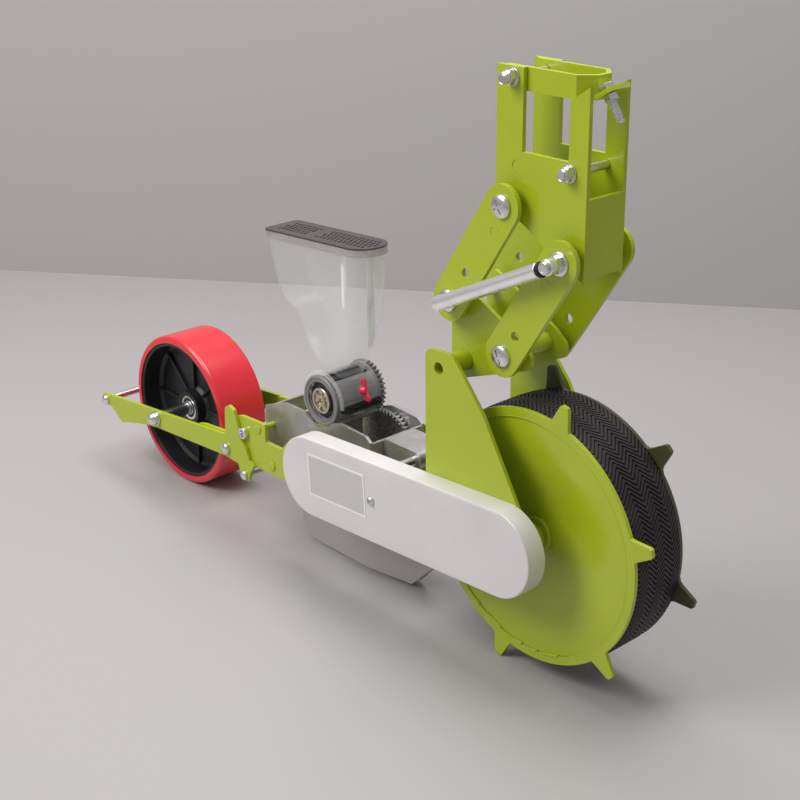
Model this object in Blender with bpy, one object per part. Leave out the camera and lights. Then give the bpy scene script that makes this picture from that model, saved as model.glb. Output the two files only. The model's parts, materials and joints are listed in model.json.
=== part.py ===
"""Single-row seed planter unit for a square toolbar.

Metres, +Z up, +X forward (towards the drive wheel), +Y to the machine's left.
Pieces are built in machine coordinates, with the drive axle above x = 0 and the
ground at z = 0. The last step moves the whole unit so that the bottom centre of its
bounding box is at the world origin. "Near" pieces lie on the -Y side, with the chain.
"""

import math

import bmesh
import bpy
from mathutils import Matrix, Vector
from mathutils.geometry import delaunay_2d_cdt

# ---------------------------------------------------------------- clearances
GAP = 0.0003            # between pieces that touch
RUNNING = 0.0005        # radial, between a pin or shaft and its hole
EYE_PLAY = 0.0023       # radial, of the strut's eye on its stud
CELL_PLAY = 0.0005      # between the seed roller and its housing

# ---------------------------------------------------------------- drive wheel
LUG_TIP_R = 0.1755
LUG_TIP = 0.012
LUG_BASE = 0.027
LUG_COUNT = 6
STANCE = math.radians(15)                # the lowest lug of each side stands this far off plumb
AXLE_Z = LUG_TIP_R * math.cos(STANCE) + LUG_TIP / 2 * math.sin(STANCE)
TREAD_R = 0.1513
TREAD_THICK = 0.0053
RING_R = 0.150
RING_WIDTH = 0.0105
WHEEL_HALF = 0.041      # half the width over the lug rings
RING_PLATE = 0.005
DISC_PLATE = 0.003
DISC_DISH = 0.014       # how far a disc's middle lies inside its edge
DRUM_PLATE = 0.0037
HUB_R = 0.020
HUB_HALF = 0.030
AXLE_R = 0.008
AXLE_COLLAR_R = 0.012

# ---------------------------------------------------------------- side plates
PLATE = 0.005
SIDE_Y = 0.071          # outer face of a side plate
SIDE_IN = SIDE_Y - PLATE
EAR_X, EAR_Z = -0.1136, 0.3470
EAR_TUBE_R = 0.012
EAR_TUBE_BORE = 0.007
BOSS_R = 0.026
BOSS_IN = 0.046         # inner end of the axle's bearing boss
BEARING_R = 0.016
BEARING_W = 0.012

# ---------------------------------------------------------------- chain drive
METER_X, METER_Z = -0.320, 0.152
METER_SHAFT_R = 0.006
CHAIN_PITCH = 0.0127
DRIVE_TEETH = 18
METER_TEETH = 14
SPROCKET_W = 0.005
CHAIN_W = 0.008
CHAIN_H = 0.0045
CHAIN_Y = -0.0855       # middle plane of the chain
COVER_R = 0.052
COVER_WALL = 0.002
COVER_FACE = 0.097      # distance of the cover's face from the middle plane
COVER_EDGE = 0.002      # bevel round the cover's face
SCREW_X, SCREW_Z = -0.202, 0.162
SCREW_R = 0.003

# ---------------------------------------------------------------- seed meter
TILT = math.radians(3.2)                 # the meter and the hopper lean back by this
GEAR_MODULE = 0.002
METER_GEAR_TEETH = 50
ROLLER_GEAR_TEETH = 34
GEAR_W = 0.007
GEAR_Y = 0.032
ROLLER_LINE = math.radians(120)          # direction from the meter shaft to the roller
ROLLER_REACH = GEAR_MODULE * (METER_GEAR_TEETH + ROLLER_GEAR_TEETH) / 2
ROLLER_X = METER_X + ROLLER_REACH * math.cos(ROLLER_LINE)
ROLLER_Z = METER_Z + ROLLER_REACH * math.sin(ROLLER_LINE)
ROLLER_SHAFT_R = 0.005
ROLLER_R = 0.029
CELL_COUNT = 12
CELL_R = 0.004
HOUSING_R = 0.034
HOUSING_WALL = 0.0025
HOUSING_NEAR = -0.037
HOUSING_FAR = 0.031
END_WALL = 0.003
WINDOW_R = 0.024
WINDOW_RING = 0.0034
HUB_CAP_R = 0.017
THROAT = math.radians(35)                # half the angle open to the hopper
OUTLET = math.radians(15)                # half the angle open to the seed chute
BRUSH_LINE = math.radians(-9.5)
BRUSH_THICK = 0.008
WING_LINE = math.radians(21)
WING_BLOCK = 0.004      # height of the block that takes the wing screw
WING_SCREW_R = 0.003

# ---------------------------------------------------------------- meter carrier
CARRIER_Y = 0.045
CARRIER_WALL = 0.004
CARRIER_REAR, CARRIER_FRONT = -0.473, -0.262
CARRIER_BASE = 0.1365
CRADLE_WALL = 0.0035
REAR_ROD_X, REAR_ROD_Z = -0.456, 0.165
FRONT_ROD_X, FRONT_ROD_Z = -0.205, 0.190
REAR_ROD_R = 0.004
FRONT_ROD_R = 0.006

# ---------------------------------------------------------------- hopper, in the tilted frame
HOPPER_WALL = 0.0022
HOPPER_LEVELS = (       # height, rear, front and half width, from the throat to the rim
    (0.0960, -0.0600, -0.0140, 0.0215),
    (0.1150, -0.0630, -0.0050, 0.0220),
    (0.1440, -0.0840, 0.0125, 0.0230),
    (0.1800, -0.1000, 0.0250, 0.0240),
    (0.1900, -0.1200, 0.0285, 0.0245),
    (0.2140, -0.1330, 0.0358, 0.0250),
    (0.2765, -0.1455, 0.0437, 0.0258),
)
LID_WALL = 0.0017
LID_PLAY = 0.0006
LID_SKIRT = 0.0085      # how far the lid reaches down over the hopper's rim
LID_TOP = 0.0022
CHUTE_LENGTH, CHUTE_WIDTH = 0.030, 0.032
CHUTE_WALL = 0.002
CHUTE_FOOT = 0.066

# ---------------------------------------------------------------- opener shoe
SHOE_REAR, SHOE_NOSE = -0.437, -0.180
SHOE_SHOULDER = -0.300
SHOE_HALF = 0.021
SHOE_WALL = 0.0025
SHOE_SOLE = 0.005
SHOE_TOP = CARRIER_BASE - GAP
SHOE_BOLT_X, SHOE_BOLT_Z = -0.428, 0.122
SHOE_BOLT_R = 0.004

# ---------------------------------------------------------------- press wheel and its arms
PRESS_X = -0.6916
PRESS_R = 0.1095
PRESS_HALF = 0.037
PRESS_TYRE = 0.010
PRESS_RIM = 0.0052
PRESS_RIM_HALF = 0.035
PRESS_BOSS_R = 0.025
PRESS_BOSS_HALF = 0.022
PRESS_WEB = 0.010
PRESS_BEARING_R = 0.0159
PRESS_BEARING_W = 0.011
PRESS_AXLE_R = 0.006
ARM_X, ARM_Z = -0.522, 0.118
ARM_IN = SIDE_Y + GAP
ARM_OUT = ARM_IN + PLATE
ARM_BOLT_R = 0.005
LOCK_X, LOCK_Z = -0.484, 0.152
TIE_X, TIE_Z = -0.483, 0.092
TIE_R = 0.004
TAIL_X, TAIL_Z = -0.826, 0.098

# ---------------------------------------------------------------- linkage
PIVOT_C = (-0.1250, 0.4173)              # rear arms on the frame
PIVOT_D = (-0.0435, 0.3740)              # front arms on the frame
ARM_REACH = (0.0785, 0.1208)             # from a frame pivot to its head pivot
PIVOT_A = (PIVOT_C[0] + ARM_REACH[0], PIVOT_C[1] + ARM_REACH[1])
PIVOT_B = (PIVOT_D[0] + ARM_REACH[0], PIVOT_D[1] + ARM_REACH[1])
LINK_R = 0.024
LINK_IN = 0.039
LINK_PLATE = 0.006
PIN_R = 0.0057
PIN_HEAD_R = 0.013
PIN_HEAD = 0.0057
BRACKET_Y = 0.030       # outer face of the bracket plates and of the head's cheeks
BOSS_RING_R = 0.013
SPACER_R = 0.011
LOCK_HOLE_R = 0.0055
STRUT_Y = -0.060
STRUT_R = 0.0085
STRUT_WALL = 0.0015
STRUT_GUIDE = 0.006
ROD_R = 0.004
STUD_R = 0.004
EYE_R = 0.009
EYE_HALF = 0.005

# ---------------------------------------------------------------- head bracket
HEAD_REAR, HEAD_FRONT = -0.070, 0.055
HEAD_TOP = 0.680
HEAD_UNDER = 0.0099     # how far the cheeks reach below the line through A and B
BAR_SIZE = 0.060        # square toolbar that the notch takes
BAR_PLAY = 0.003        # fore and aft, in the notch
BAR_HEADROOM = 0.001    # under the closed gate
BAR_REAR = -0.033
BAR_FRONT = BAR_REAR + BAR_SIZE + BAR_PLAY
BAR_FLOOR = 0.595
FRONT_PLATE_TOP = 0.560
GATE_PIN = (-0.048, 0.669)
CLAMP_BOLT = (0.032, 0.584)
HEAD_BOLT_R = 0.005
GATE_UNDER = BAR_FLOOR + BAR_SIZE + BAR_HEADROOM
GATE_REAR = -0.062
GATE_FRONT = 0.048
GATE_TAB = (0.0585, 0.6655)              # middle of the gate's tab
TAB_RISE = math.radians(32)
TAB_HALF = 0.014
SET_SCREW_R = 0.004
SET_SCREW_Y = -0.007

# ---------------------------------------------------------------- finishes
PAINT = ("lime_paint", (0.42, 0.55, 0.035), 0.38, 0.0)
ZINC = ("zinc", (0.72, 0.72, 0.70), 0.32, 1.0)
STEEL = ("bright_steel", (0.62, 0.63, 0.64), 0.28, 1.0)
SILVER = ("silver_paint", (0.60, 0.58, 0.58), 0.42, 0.2)
CAST = ("cast_alloy", (0.52, 0.51, 0.51), 0.45, 0.6)
RUBBER = ("black_rubber", (0.025, 0.022, 0.022), 0.80, 0.0)
RED = ("red_polyurethane", (0.62, 0.02, 0.04), 0.30, 0.0)
BLACK = ("black_plastic", (0.02, 0.02, 0.024), 0.45, 0.0)
CLEAR = ("clear_plastic", (0.86, 0.87, 0.87), 0.10, 0.0)
SMOKE = ("smoked_plastic", (0.16, 0.13, 0.13), 0.18, 0.0)
GREY = ("grey_plastic", (0.34, 0.34, 0.34), 0.40, 0.0)
WING_RED = ("red_plastic", (0.65, 0.03, 0.10), 0.30, 0.0)
SEE_THROUGH = {"clear_plastic": 0.3, "smoked_plastic": 0.7}

WHEEL_SIDES = 48        # facets of the drive wheel's rings, which must match
PRESS_SIDES = 36
ROUND = 20
SMALL = 12              # facets of pins and their holes

UPRIGHT = Matrix.Identity(4)
ALONG_Y = Matrix(((1, 0, 0, 0), (0, 0, 1, 0), (0, 1, 0, 0), (0, 0, 0, 1)))


# ================================================================ outlines
def arc(u, v, r, start, end, steps):
    """Points along an arc, both ends included."""
    return [(u + r * math.cos(start + (end - start) * i / steps),
             v + r * math.sin(start + (end - start) * i / steps)) for i in range(steps + 1)]


def circle(centre, r, count=ROUND, turn=0.0):
    """A closed round outline."""
    return arc(*centre, r, turn, turn + math.tau, count)[:-1]


def hexagon(centre, flats):
    """A hexagon, sized across its flats."""
    return circle(centre, flats / math.sqrt(3), 6, math.pi / 6)


def rectangle(u0, u1, v0, v1):
    return [(u0, v0), (u1, v0), (u1, v1), (u0, v1)]


def belt(p, q, r_p, r_q, steps=16):
    """The outline of a belt drawn tight around two circles."""
    along = math.atan2(q[1] - p[1], q[0] - p[0])
    lean = math.acos((r_p - r_q) / math.dist(p, q))
    return (arc(*q, r_q, along - lean, along + lean, steps)
            + arc(*p, r_p, along + lean, along + math.tau - lean, steps))


def filleted(corners, steps=4):
    """An outline from corners (u, v) or (u, v, radius), rounded where a radius is given."""
    points = []
    for i, corner in enumerate(corners):
        here = Vector(corner[:2])
        if len(corner) == 2:
            points.append(tuple(here))
            continue
        back = (Vector(corners[i - 1][:2]) - here).normalized()
        ahead = (Vector(corners[(i + 1) % len(corners)][:2]) - here).normalized()
        radius = corner[2]
        half = back.angle(ahead) / 2
        middle = here + (back + ahead).normalized() * radius / math.sin(half)
        first = here + back * radius / math.tan(half) - middle
        last = here + ahead * radius / math.tan(half) - middle
        start = math.atan2(first.y, first.x)
        sweep = math.remainder(math.atan2(last.y, last.x) - start, math.tau)
        points += arc(*middle, radius, start, start + sweep, steps)
    return points


def turned_about(points, centre, angle):
    """An outline drawn around (0, 0), turned and then moved to a centre."""
    cos, sin = math.cos(angle), math.sin(angle)
    return [(centre[0] + u * cos - v * sin, centre[1] + u * sin + v * cos) for u, v in points]


def toothed(teeth, radii, pitch_share, tip_share):
    """A wheel of straight-sided teeth with one tooth on +u.

    radii are those of the root, pitch and tip circles. The shares say how much of the
    pitch angle a tooth takes at the pitch circle and at its tip.
    """
    root_r, pitch_r, tip_r = radii
    root_share = pitch_share + (pitch_share - tip_share) * (pitch_r - root_r) / (tip_r - pitch_r)
    flank = ((root_r, -root_share), (tip_r, -tip_share), (tip_r, tip_share), (root_r, root_share))
    step = math.tau / teeth
    return [(r * math.cos(step * (i + share / 2)), r * math.sin(step * (i + share / 2)))
            for i in range(teeth) for r, share in flank]


# ================================================================ solids
def inside(point, loops):
    """True where a point lies within an odd number of the loops."""
    u, v = point
    crossings = 0
    for loop in loops:
        for (u0, v0), (u1, v1) in zip(loop, loop[1:] + loop[:1]):
            if (v0 > v) != (v1 > v) and u < u0 + (v - v0) * (u1 - u0) / (v1 - v0):
                crossings += 1
    return crossings % 2 == 1


def close_level(mesh, below, above, w):
    """Closes the area that only one of two neighbouring sections covers, at height w.

    Returns the vertices along each edge of the loops of the section below, and the
    same for the section above. Crossing loops add vertices to each other's edges.
    """
    points, edges = [], []
    for loop in below + above:
        first = len(points)
        points += [Vector(p) for p in loop]
        edges += [(first + i, first + (i + 1) % len(loop)) for i in range(len(loop))]
    corners, pieces, faces, _, sources, _ = delaunay_2d_cdt(points, edges, [], 0, 1e-7)
    made = {}

    def vertex(i):
        if i not in made:
            made[i] = mesh.verts.new((*corners[i], w))
        return made[i]

    for face in faces:
        middle = sum((corners[i] for i in face), Vector((0, 0))) / 3
        if inside(middle, below) != inside(middle, above):
            mesh.faces.new([vertex(i) for i in face])
    ends = [set() for _ in edges]
    for piece, origins in zip(pieces, sources):
        for origin in origins:
            ends[origin].update(piece)
    chains = [[vertex(i) for i in sorted(found, key=lambda i: (corners[i] - points[start]).length)]
              for found, (start, _) in zip(ends, edges)]
    count = sum(len(loop) for loop in below)
    return chains[:count], chains[count:]


def stack(sections, placing=ALONG_Y):
    """A closed solid of flat sections (loops, low, high) that lie on each other."""
    mesh = bmesh.new()
    layers = [[]] + [loops for loops, _, _ in sections] + [[]]
    heights = [sections[0][1]] + [high for _, _, high in sections]
    levels = [close_level(mesh, below, above, w) for below, above, w in zip(layers, layers[1:], heights)]
    for (_, lower), (upper, _) in zip(levels, levels[1:]):
        for bottom, top in zip(lower, upper):
            mesh.faces.new(bottom + top[::-1])
    mesh.transform(placing)
    return mesh


def sided(side, sections):
    """Sections of a near-side piece, mirrored for the far side."""
    if side < 0:
        return sections
    return [(loops, -high, -low) for loops, low, high in reversed(sections)]


def turned(profile, count=ROUND, centre=(0.0, 0.0), placing=ALONG_Y):
    """A closed profile of (radius, w) points turned about an axis along w."""
    mesh = bmesh.new()
    rings = []
    for r, w in profile:
        if r == 0:
            rings.append([mesh.verts.new((*centre, w))] * count)
        else:
            rings.append([mesh.verts.new((*p, w)) for p in circle(centre, r, count)])
    for ring, after in zip(rings, rings[1:] + rings[:1]):
        if ring[0] is ring[1] and after[0] is after[1]:
            continue
        for i in range(count):
            j = (i + 1) % count
            mesh.faces.new(dict.fromkeys((ring[i], ring[j], after[j], after[i])))
    mesh.transform(placing)
    return mesh


def bush(outer_r, inner_r, low, high, centre, count=24):
    """A plain tube along Y."""
    return turned([(inner_r, low), (inner_r, high), (outer_r, high), (outer_r, low)], count, centre)


def round_bar(r, low, high, centre=(0.0, 0.0), placing=ALONG_Y, count=SMALL):
    """A plain cylinder along Y, or along the placing's own axis."""
    return turned([(0, low), (r, low), (r, high), (0, high)], count, centre, placing)


def cross_bolt(centre, shank_r, grip, head, nut, flats, round_head=False):
    """A bolt through the whole unit along Y: head, shank, nut and the shank's end."""
    shank = [circle(centre, shank_r, SMALL)]
    hexagonal = [hexagon(centre, flats)]
    head_loop = [circle(centre, flats / 2)] if round_head else hexagonal
    return stack([(head_loop, -grip - head, -grip), (shank, -grip, grip), (hexagonal, grip, grip + nut),
                  (shank, grip + nut, grip + nut + shank_r / 2)])


def lofted_shell(outer_levels, inner_levels):
    """A shell between matching outer and inner outlines, each (points, height), open at both ends."""
    mesh = bmesh.new()

    def rings(levels):
        return [[mesh.verts.new((u, y, v)) for u, y in points] for points, v in levels]

    outer, inner = rings(outer_levels), rings(inner_levels)
    strips = list(zip(outer, outer[1:])) + list(zip(inner, inner[1:]))
    strips += [(outer[0], inner[0]), (outer[-1], inner[-1])]
    for one, other in strips:
        for i in range(len(one)):
            j = (i + 1) % len(one)
            mesh.faces.new((one[i], one[j], other[j], other[i]))
    return mesh


def trimmed(mesh, point, outward):
    """The mesh without what lies beyond a plane, with the cut closed."""
    everything = mesh.verts[:] + mesh.edges[:] + mesh.faces[:]
    bmesh.ops.bisect_plane(mesh, geom=everything, plane_co=point, plane_no=outward, clear_outer=True)
    rim = [edge for edge in mesh.edges if edge.is_boundary]
    bmesh.ops.triangle_fill(mesh, edges=rim, use_beauty=True)
    return mesh


# ================================================================ objects
def finish(name, colour, roughness, metallic):
    """A Principled material, made at its first use."""
    if name in bpy.data.materials:
        return bpy.data.materials[name]
    material = bpy.data.materials.new(name)
    material.use_nodes = True
    shader = material.node_tree.nodes["Principled BSDF"]
    shader.inputs["Base Color"].default_value = (*colour, 1)
    shader.inputs["Roughness"].default_value = roughness
    shader.inputs["Metallic"].default_value = metallic
    shader.inputs["Alpha"].default_value = SEE_THROUGH.get(name, 1.0)
    return material


def place_of(carrier):
    """Where an empty stands in machine coordinates."""
    if carrier is None:
        return Vector((0, 0, 0))
    return carrier.location + place_of(carrier.parent)


def pivot(name, parent=None, x=0.0, z=0.0):
    """An empty on a joint's axis, which carries the pieces that move there."""
    empty = bpy.data.objects.new(name, None)
    bpy.context.scene.collection.objects.link(empty)
    empty.empty_display_size = 0.03
    empty.parent = parent
    empty.location = Vector((x, 0, z)) - place_of(parent)
    return empty


def add(name, mesh, look, carrier):
    """Turns a mesh in machine coordinates into an object whose origin is its carrier's."""
    mesh.transform(Matrix.Translation(-place_of(carrier)))
    bmesh.ops.recalc_face_normals(mesh, faces=mesh.faces[:])
    data = bpy.data.meshes.new(name)
    mesh.to_mesh(data)
    mesh.free()
    data.materials.append(finish(*look))
    data.shade_smooth()
    data.set_sharp_from_angle(angle=math.radians(32))
    obj = bpy.data.objects.new(name, data)
    bpy.context.scene.collection.objects.link(obj)
    obj.parent = carrier
    return obj


def combine(obj, operation, name, mesh):
    """Cuts a tool solid from an object (DIFFERENCE) or joins it on (UNION)."""
    tool = add(name, mesh, STEEL, obj.parent)
    tool.hide_render = True
    tool.display_type = "WIRE"
    step = obj.modifiers.new(name, "BOOLEAN")
    step.operation = operation
    step.solver = "EXACT"
    step.object = tool


def side_name(side):
    return "near" if side < 0 else "far"


# ================================================================ drive wheel
def lug_ring(side, carrier):
    """The flat ring with lugs at one edge of the wheel."""
    centre = (0, AXLE_Z)
    base = math.asin(LUG_BASE / 2 / RING_R)
    foot = RING_R * math.cos(base)
    lug = [(foot, -LUG_BASE / 2), (LUG_TIP_R, -LUG_TIP / 2), (LUG_TIP_R, LUG_TIP / 2), (foot, LUG_BASE / 2)]
    step = math.tau / LUG_COUNT
    rim = []
    for i in range(LUG_COUNT):
        middle = -math.pi / 2 + side * STANCE + i * step
        rim += turned_about(lug, centre, middle)
        rim += arc(*centre, RING_R, middle + base, middle + step - base, 6)[1:-1]
    bore = circle(centre, RING_R - RING_WIDTH, WHEEL_SIDES)
    plate = sided(side, [([rim, bore], -WHEEL_HALF, RING_PLATE - WHEEL_HALF)])
    add(f"{side_name(side)}_lug_ring", stack(plate), PAINT, carrier)


def wheel_disc(side, drum, carrier):
    """The dished disc of one side. With a drum, its edge turns in under the whole tread."""
    edge = WHEEL_HALF - 0.0015
    middle = edge - DISC_DISH
    rim = RING_R - RING_WIDTH - GAP
    dish = HUB_R + 0.018
    front = [(HUB_R + GAP, middle), (dish, middle), (rim - 0.013, edge - 0.0015), (rim - 0.004, edge),
             (rim, edge)]
    back = [(rim - 0.012, edge - 0.0015 - DISC_PLATE), (dish, middle - DISC_PLATE),
            (HUB_R + GAP, middle - DISC_PLATE)]
    drum_half = WHEEL_HALF - RING_PLATE - GAP
    drum_r = TREAD_R - TREAD_THICK - GAP
    if drum:
        turn_in = [(rim, drum_half), (drum_r, drum_half), (drum_r, -drum_half),
                   (drum_r - DRUM_PLATE, -drum_half), (drum_r - DRUM_PLATE, drum_half - DISC_PLATE)]
    else:
        turn_in = [(rim, edge - 0.0015 - DISC_PLATE)]
    profile = [(r, side * w) for r, w in front + turn_in + back]
    add(f"{side_name(side)}_wheel_disc", turned(profile, WHEEL_SIDES, (0, AXLE_Z)), PAINT, carrier)


def tread(carrier):
    """The rubber band round the drum, slightly crowned."""
    half = WHEEL_HALF - RING_PLATE - GAP
    inner, shoulder = TREAD_R - TREAD_THICK, TREAD_R - 0.0012
    profile = [(inner, -half), (inner, half), (shoulder, half), (TREAD_R, half / 2), (TREAD_R, -half / 2),
               (shoulder, -half)]
    add("rubber_tread", turned(profile, WHEEL_SIDES, (0, AXLE_Z)), RUBBER, carrier)


def drive_axle(carrier):
    """The axle with the wheel's hub, the shoulders of its bearings and a far end collar."""
    shoulder = BOSS_IN + 0.002 - GAP
    near = CHAIN_Y - SPROCKET_W / 2 - 0.005
    far = SIDE_Y + 0.0005
    profile = [(0, near), (AXLE_R, near), (AXLE_R, -shoulder), (AXLE_COLLAR_R, -shoulder),
               (AXLE_COLLAR_R, -HUB_HALF), (HUB_R, -HUB_HALF), (HUB_R, HUB_HALF), (AXLE_COLLAR_R, HUB_HALF),
               (AXLE_COLLAR_R, shoulder), (AXLE_R, shoulder), (AXLE_R, far), (AXLE_COLLAR_R, far),
               (AXLE_COLLAR_R, far + 0.006), (AXLE_R, far + 0.006), (AXLE_R, 0.084), (0, 0.084)]
    add("drive_axle", turned(profile, ROUND, (0, AXLE_Z)), STEEL, carrier)


def pitch_radius(teeth):
    return CHAIN_PITCH / 2 / math.sin(math.pi / teeth)


def sprocket_tip(teeth):
    return pitch_radius(teeth) + 0.3 * CHAIN_PITCH


def sprocket(name, teeth, centre, shaft_r, carrier):
    """A chain sprocket with its boss, on a shaft along Y."""
    pitch_r = pitch_radius(teeth)
    radii = (pitch_r - 0.32 * CHAIN_PITCH, pitch_r, sprocket_tip(teeth))
    rim = turned_about(toothed(teeth, radii, 0.46, 0.2), centre, 0)
    bore = circle(centre, shaft_r + GAP)
    boss = circle(centre, shaft_r + 0.006)
    low = CHAIN_Y - SPROCKET_W / 2
    high = low + SPROCKET_W
    mesh = stack([([rim, bore], low, high), ([boss, bore], high, -SIDE_Y - 0.001)])
    add(name, mesh, STEEL, carrier)


# ================================================================ frame
def side_outline():
    """A side plate: rear tongue, tab, long beam, axle seat and tall ear."""
    return filleted([
        (-0.5965, 0.1045, 0.008), (-0.5965, 0.1300, 0.006), (-0.5800, 0.1345), (-0.5050, 0.1410),
        (-0.5050, 0.1690, 0.004), (-0.4910, 0.1740), (-0.4400, 0.1760), (-0.4410, 0.1510), (-0.4070, 0.1530),
        (-0.3850, 0.1760, 0.010), (-0.3000, 0.1780, 0.015), (-0.2400, 0.2050, 0.015), (-0.1350, 0.2090),
        (-0.1350, 0.3680, 0.012), (-0.0920, 0.3680, 0.012), (-0.0450, 0.3130), (0.0110, 0.2180, 0.010),
        (0.0320, 0.2050, 0.006), (0.0300, 0.1410, 0.028), (-0.0600, 0.1320), (-0.1350, 0.1180),
        (-0.4100, 0.1100), (-0.4730, 0.1080)])


def side_plate(side, carrier):
    """One side plate with the boss of its axle bearing, and the bearing."""
    axle = (0, AXLE_Z)
    holes = [circle((EAR_X, EAR_Z), EAR_TUBE_BORE), circle((METER_X, METER_Z), METER_SHAFT_R + RUNNING)]
    for x, z, r in ((ARM_X, ARM_Z, ARM_BOLT_R), (LOCK_X, LOCK_Z, ARM_BOLT_R),
                    (REAR_ROD_X, REAR_ROD_Z, REAR_ROD_R), (FRONT_ROD_X, FRONT_ROD_Z, FRONT_ROD_R),
                    (SHOE_BOLT_X, SHOE_BOLT_Z, SHOE_BOLT_R)):
        holes.append(circle((x, z), r + GAP, SMALL))
    if side < 0:
        holes.append(circle((SCREW_X, SCREW_Z), SCREW_R + GAP, SMALL))
    bore = circle(axle, AXLE_R + 0.001)
    boss = circle(axle, BOSS_R, 24)
    seat = circle(axle, BEARING_R + GAP, 24)
    outer_end = BOSS_IN + 0.002 + BEARING_W
    sections = [([side_outline(), bore] + holes, -SIDE_Y, -SIDE_IN), ([boss, bore], -SIDE_IN, -outer_end - GAP),
                ([boss, seat], -outer_end - GAP, -BOSS_IN)]
    add(f"{side_name(side)}_side_plate", stack(sided(side, sections)), PAINT, carrier)
    low, high = sorted((side * outer_end, side * (outer_end - BEARING_W)))
    add(f"{side_name(side)}_axle_bearing", bush(BEARING_R, AXLE_R + RUNNING, low, high, axle), STEEL, carrier)


def frame_rods(carrier):
    """The tube between the ears, and the bolts and rods that hold the side plates apart."""
    inner = SIDE_IN - GAP
    add("ear_tube", bush(EAR_TUBE_R, EAR_TUBE_BORE, -inner, inner, (EAR_X, EAR_Z), ROUND), PAINT, carrier)
    grip = SIDE_Y + GAP
    rods = (("rear_carrier_rod", (REAR_ROD_X, REAR_ROD_Z), REAR_ROD_R, grip, 0.003, 0.005, 0.013),
            ("front_carrier_rod", (FRONT_ROD_X, FRONT_ROD_Z), FRONT_ROD_R, grip, 0.004, 0.008, 0.018),
            ("shoe_bolt", (SHOE_BOLT_X, SHOE_BOLT_Z), SHOE_BOLT_R, grip, 0.004, 0.006, 0.013),
            ("arm_pivot_bolt", (ARM_X, ARM_Z), ARM_BOLT_R, ARM_OUT + GAP, 0.006, 0.008, 0.016),
            ("depth_lock_bolt", (LOCK_X, LOCK_Z), ARM_BOLT_R, grip, 0.006, 0.007, 0.016))
    for name, centre, r, half, head, nut, flats in rods:
        add(name, cross_bolt(centre, r, half, head, nut, flats, round_head=True), ZINC, carrier)


# ================================================================ chain drive
def chain_drive(carrier):
    """The chain as a belt round both sprockets, its cover and the cover's screw."""
    front, rear = (0.0, AXLE_Z), (METER_X, METER_Z)
    seat_f, seat_r = sprocket_tip(DRIVE_TEETH) + RUNNING, sprocket_tip(METER_TEETH) + RUNNING
    loops = [belt(front, rear, seat_f + CHAIN_H, seat_r + CHAIN_H), belt(front, rear, seat_f, seat_r)]
    chain = stack([(loops, CHAIN_Y - CHAIN_W / 2, CHAIN_Y + CHAIN_W / 2)])
    add("roller_chain", chain, STEEL, carrier)

    def track(inset):
        return belt(front, rear, COVER_R - inset, COVER_R - inset)

    hole = circle((SCREW_X, SCREW_Z), SCREW_R + GAP, SMALL)
    inner_face = COVER_WALL - COVER_FACE
    cover = stack([([track(COVER_EDGE), hole], -COVER_FACE, COVER_EDGE / 2 - COVER_FACE),
                   ([track(COVER_EDGE / 4), hole], COVER_EDGE / 2 - COVER_FACE, inner_face),
                   ([track(0), track(COVER_WALL)], inner_face, -SIDE_Y - GAP)])
    add("chain_cover", cover, SILVER, carrier)
    centre = (SCREW_X, SCREW_Z)
    screw = stack([([circle(centre, 0.0055)], -COVER_FACE - 0.004, -COVER_FACE - GAP),
                   ([circle(centre, SCREW_R, SMALL)], -COVER_FACE - GAP, -SIDE_IN + 0.004)])
    add("cover_screw", screw, ZINC, carrier)


def spur_gear(name, teeth, centre, shaft_r, turn, look, carrier):
    """A spur gear on a shaft along Y, with one tooth at the given turn."""
    pitch_r = GEAR_MODULE * teeth / 2
    radii = (pitch_r - 1.2 * GEAR_MODULE, pitch_r, pitch_r + 0.9 * GEAR_MODULE)
    rim = turned_about(toothed(teeth, radii, 0.44, 0.24), centre, turn)
    bore = circle(centre, shaft_r + GAP)
    add(name, stack([([rim, bore], GEAR_Y, GEAR_Y + GEAR_W)]), look, carrier)


def meter_drive(carrier):
    """The shaft that the chain turns, with its sprocket and the gear for the seed roller."""
    centre = (METER_X, METER_Z)
    shaft = round_bar(METER_SHAFT_R, CHAIN_Y - SPROCKET_W / 2 - 0.003, CARRIER_Y + 0.003, centre)
    add("meter_shaft", shaft, STEEL, carrier)
    sprocket("meter_sprocket", METER_TEETH, centre, METER_SHAFT_R, carrier)
    spur_gear("meter_gear", METER_GEAR_TEETH, centre, METER_SHAFT_R, ROLLER_LINE, STEEL, carrier)


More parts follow.
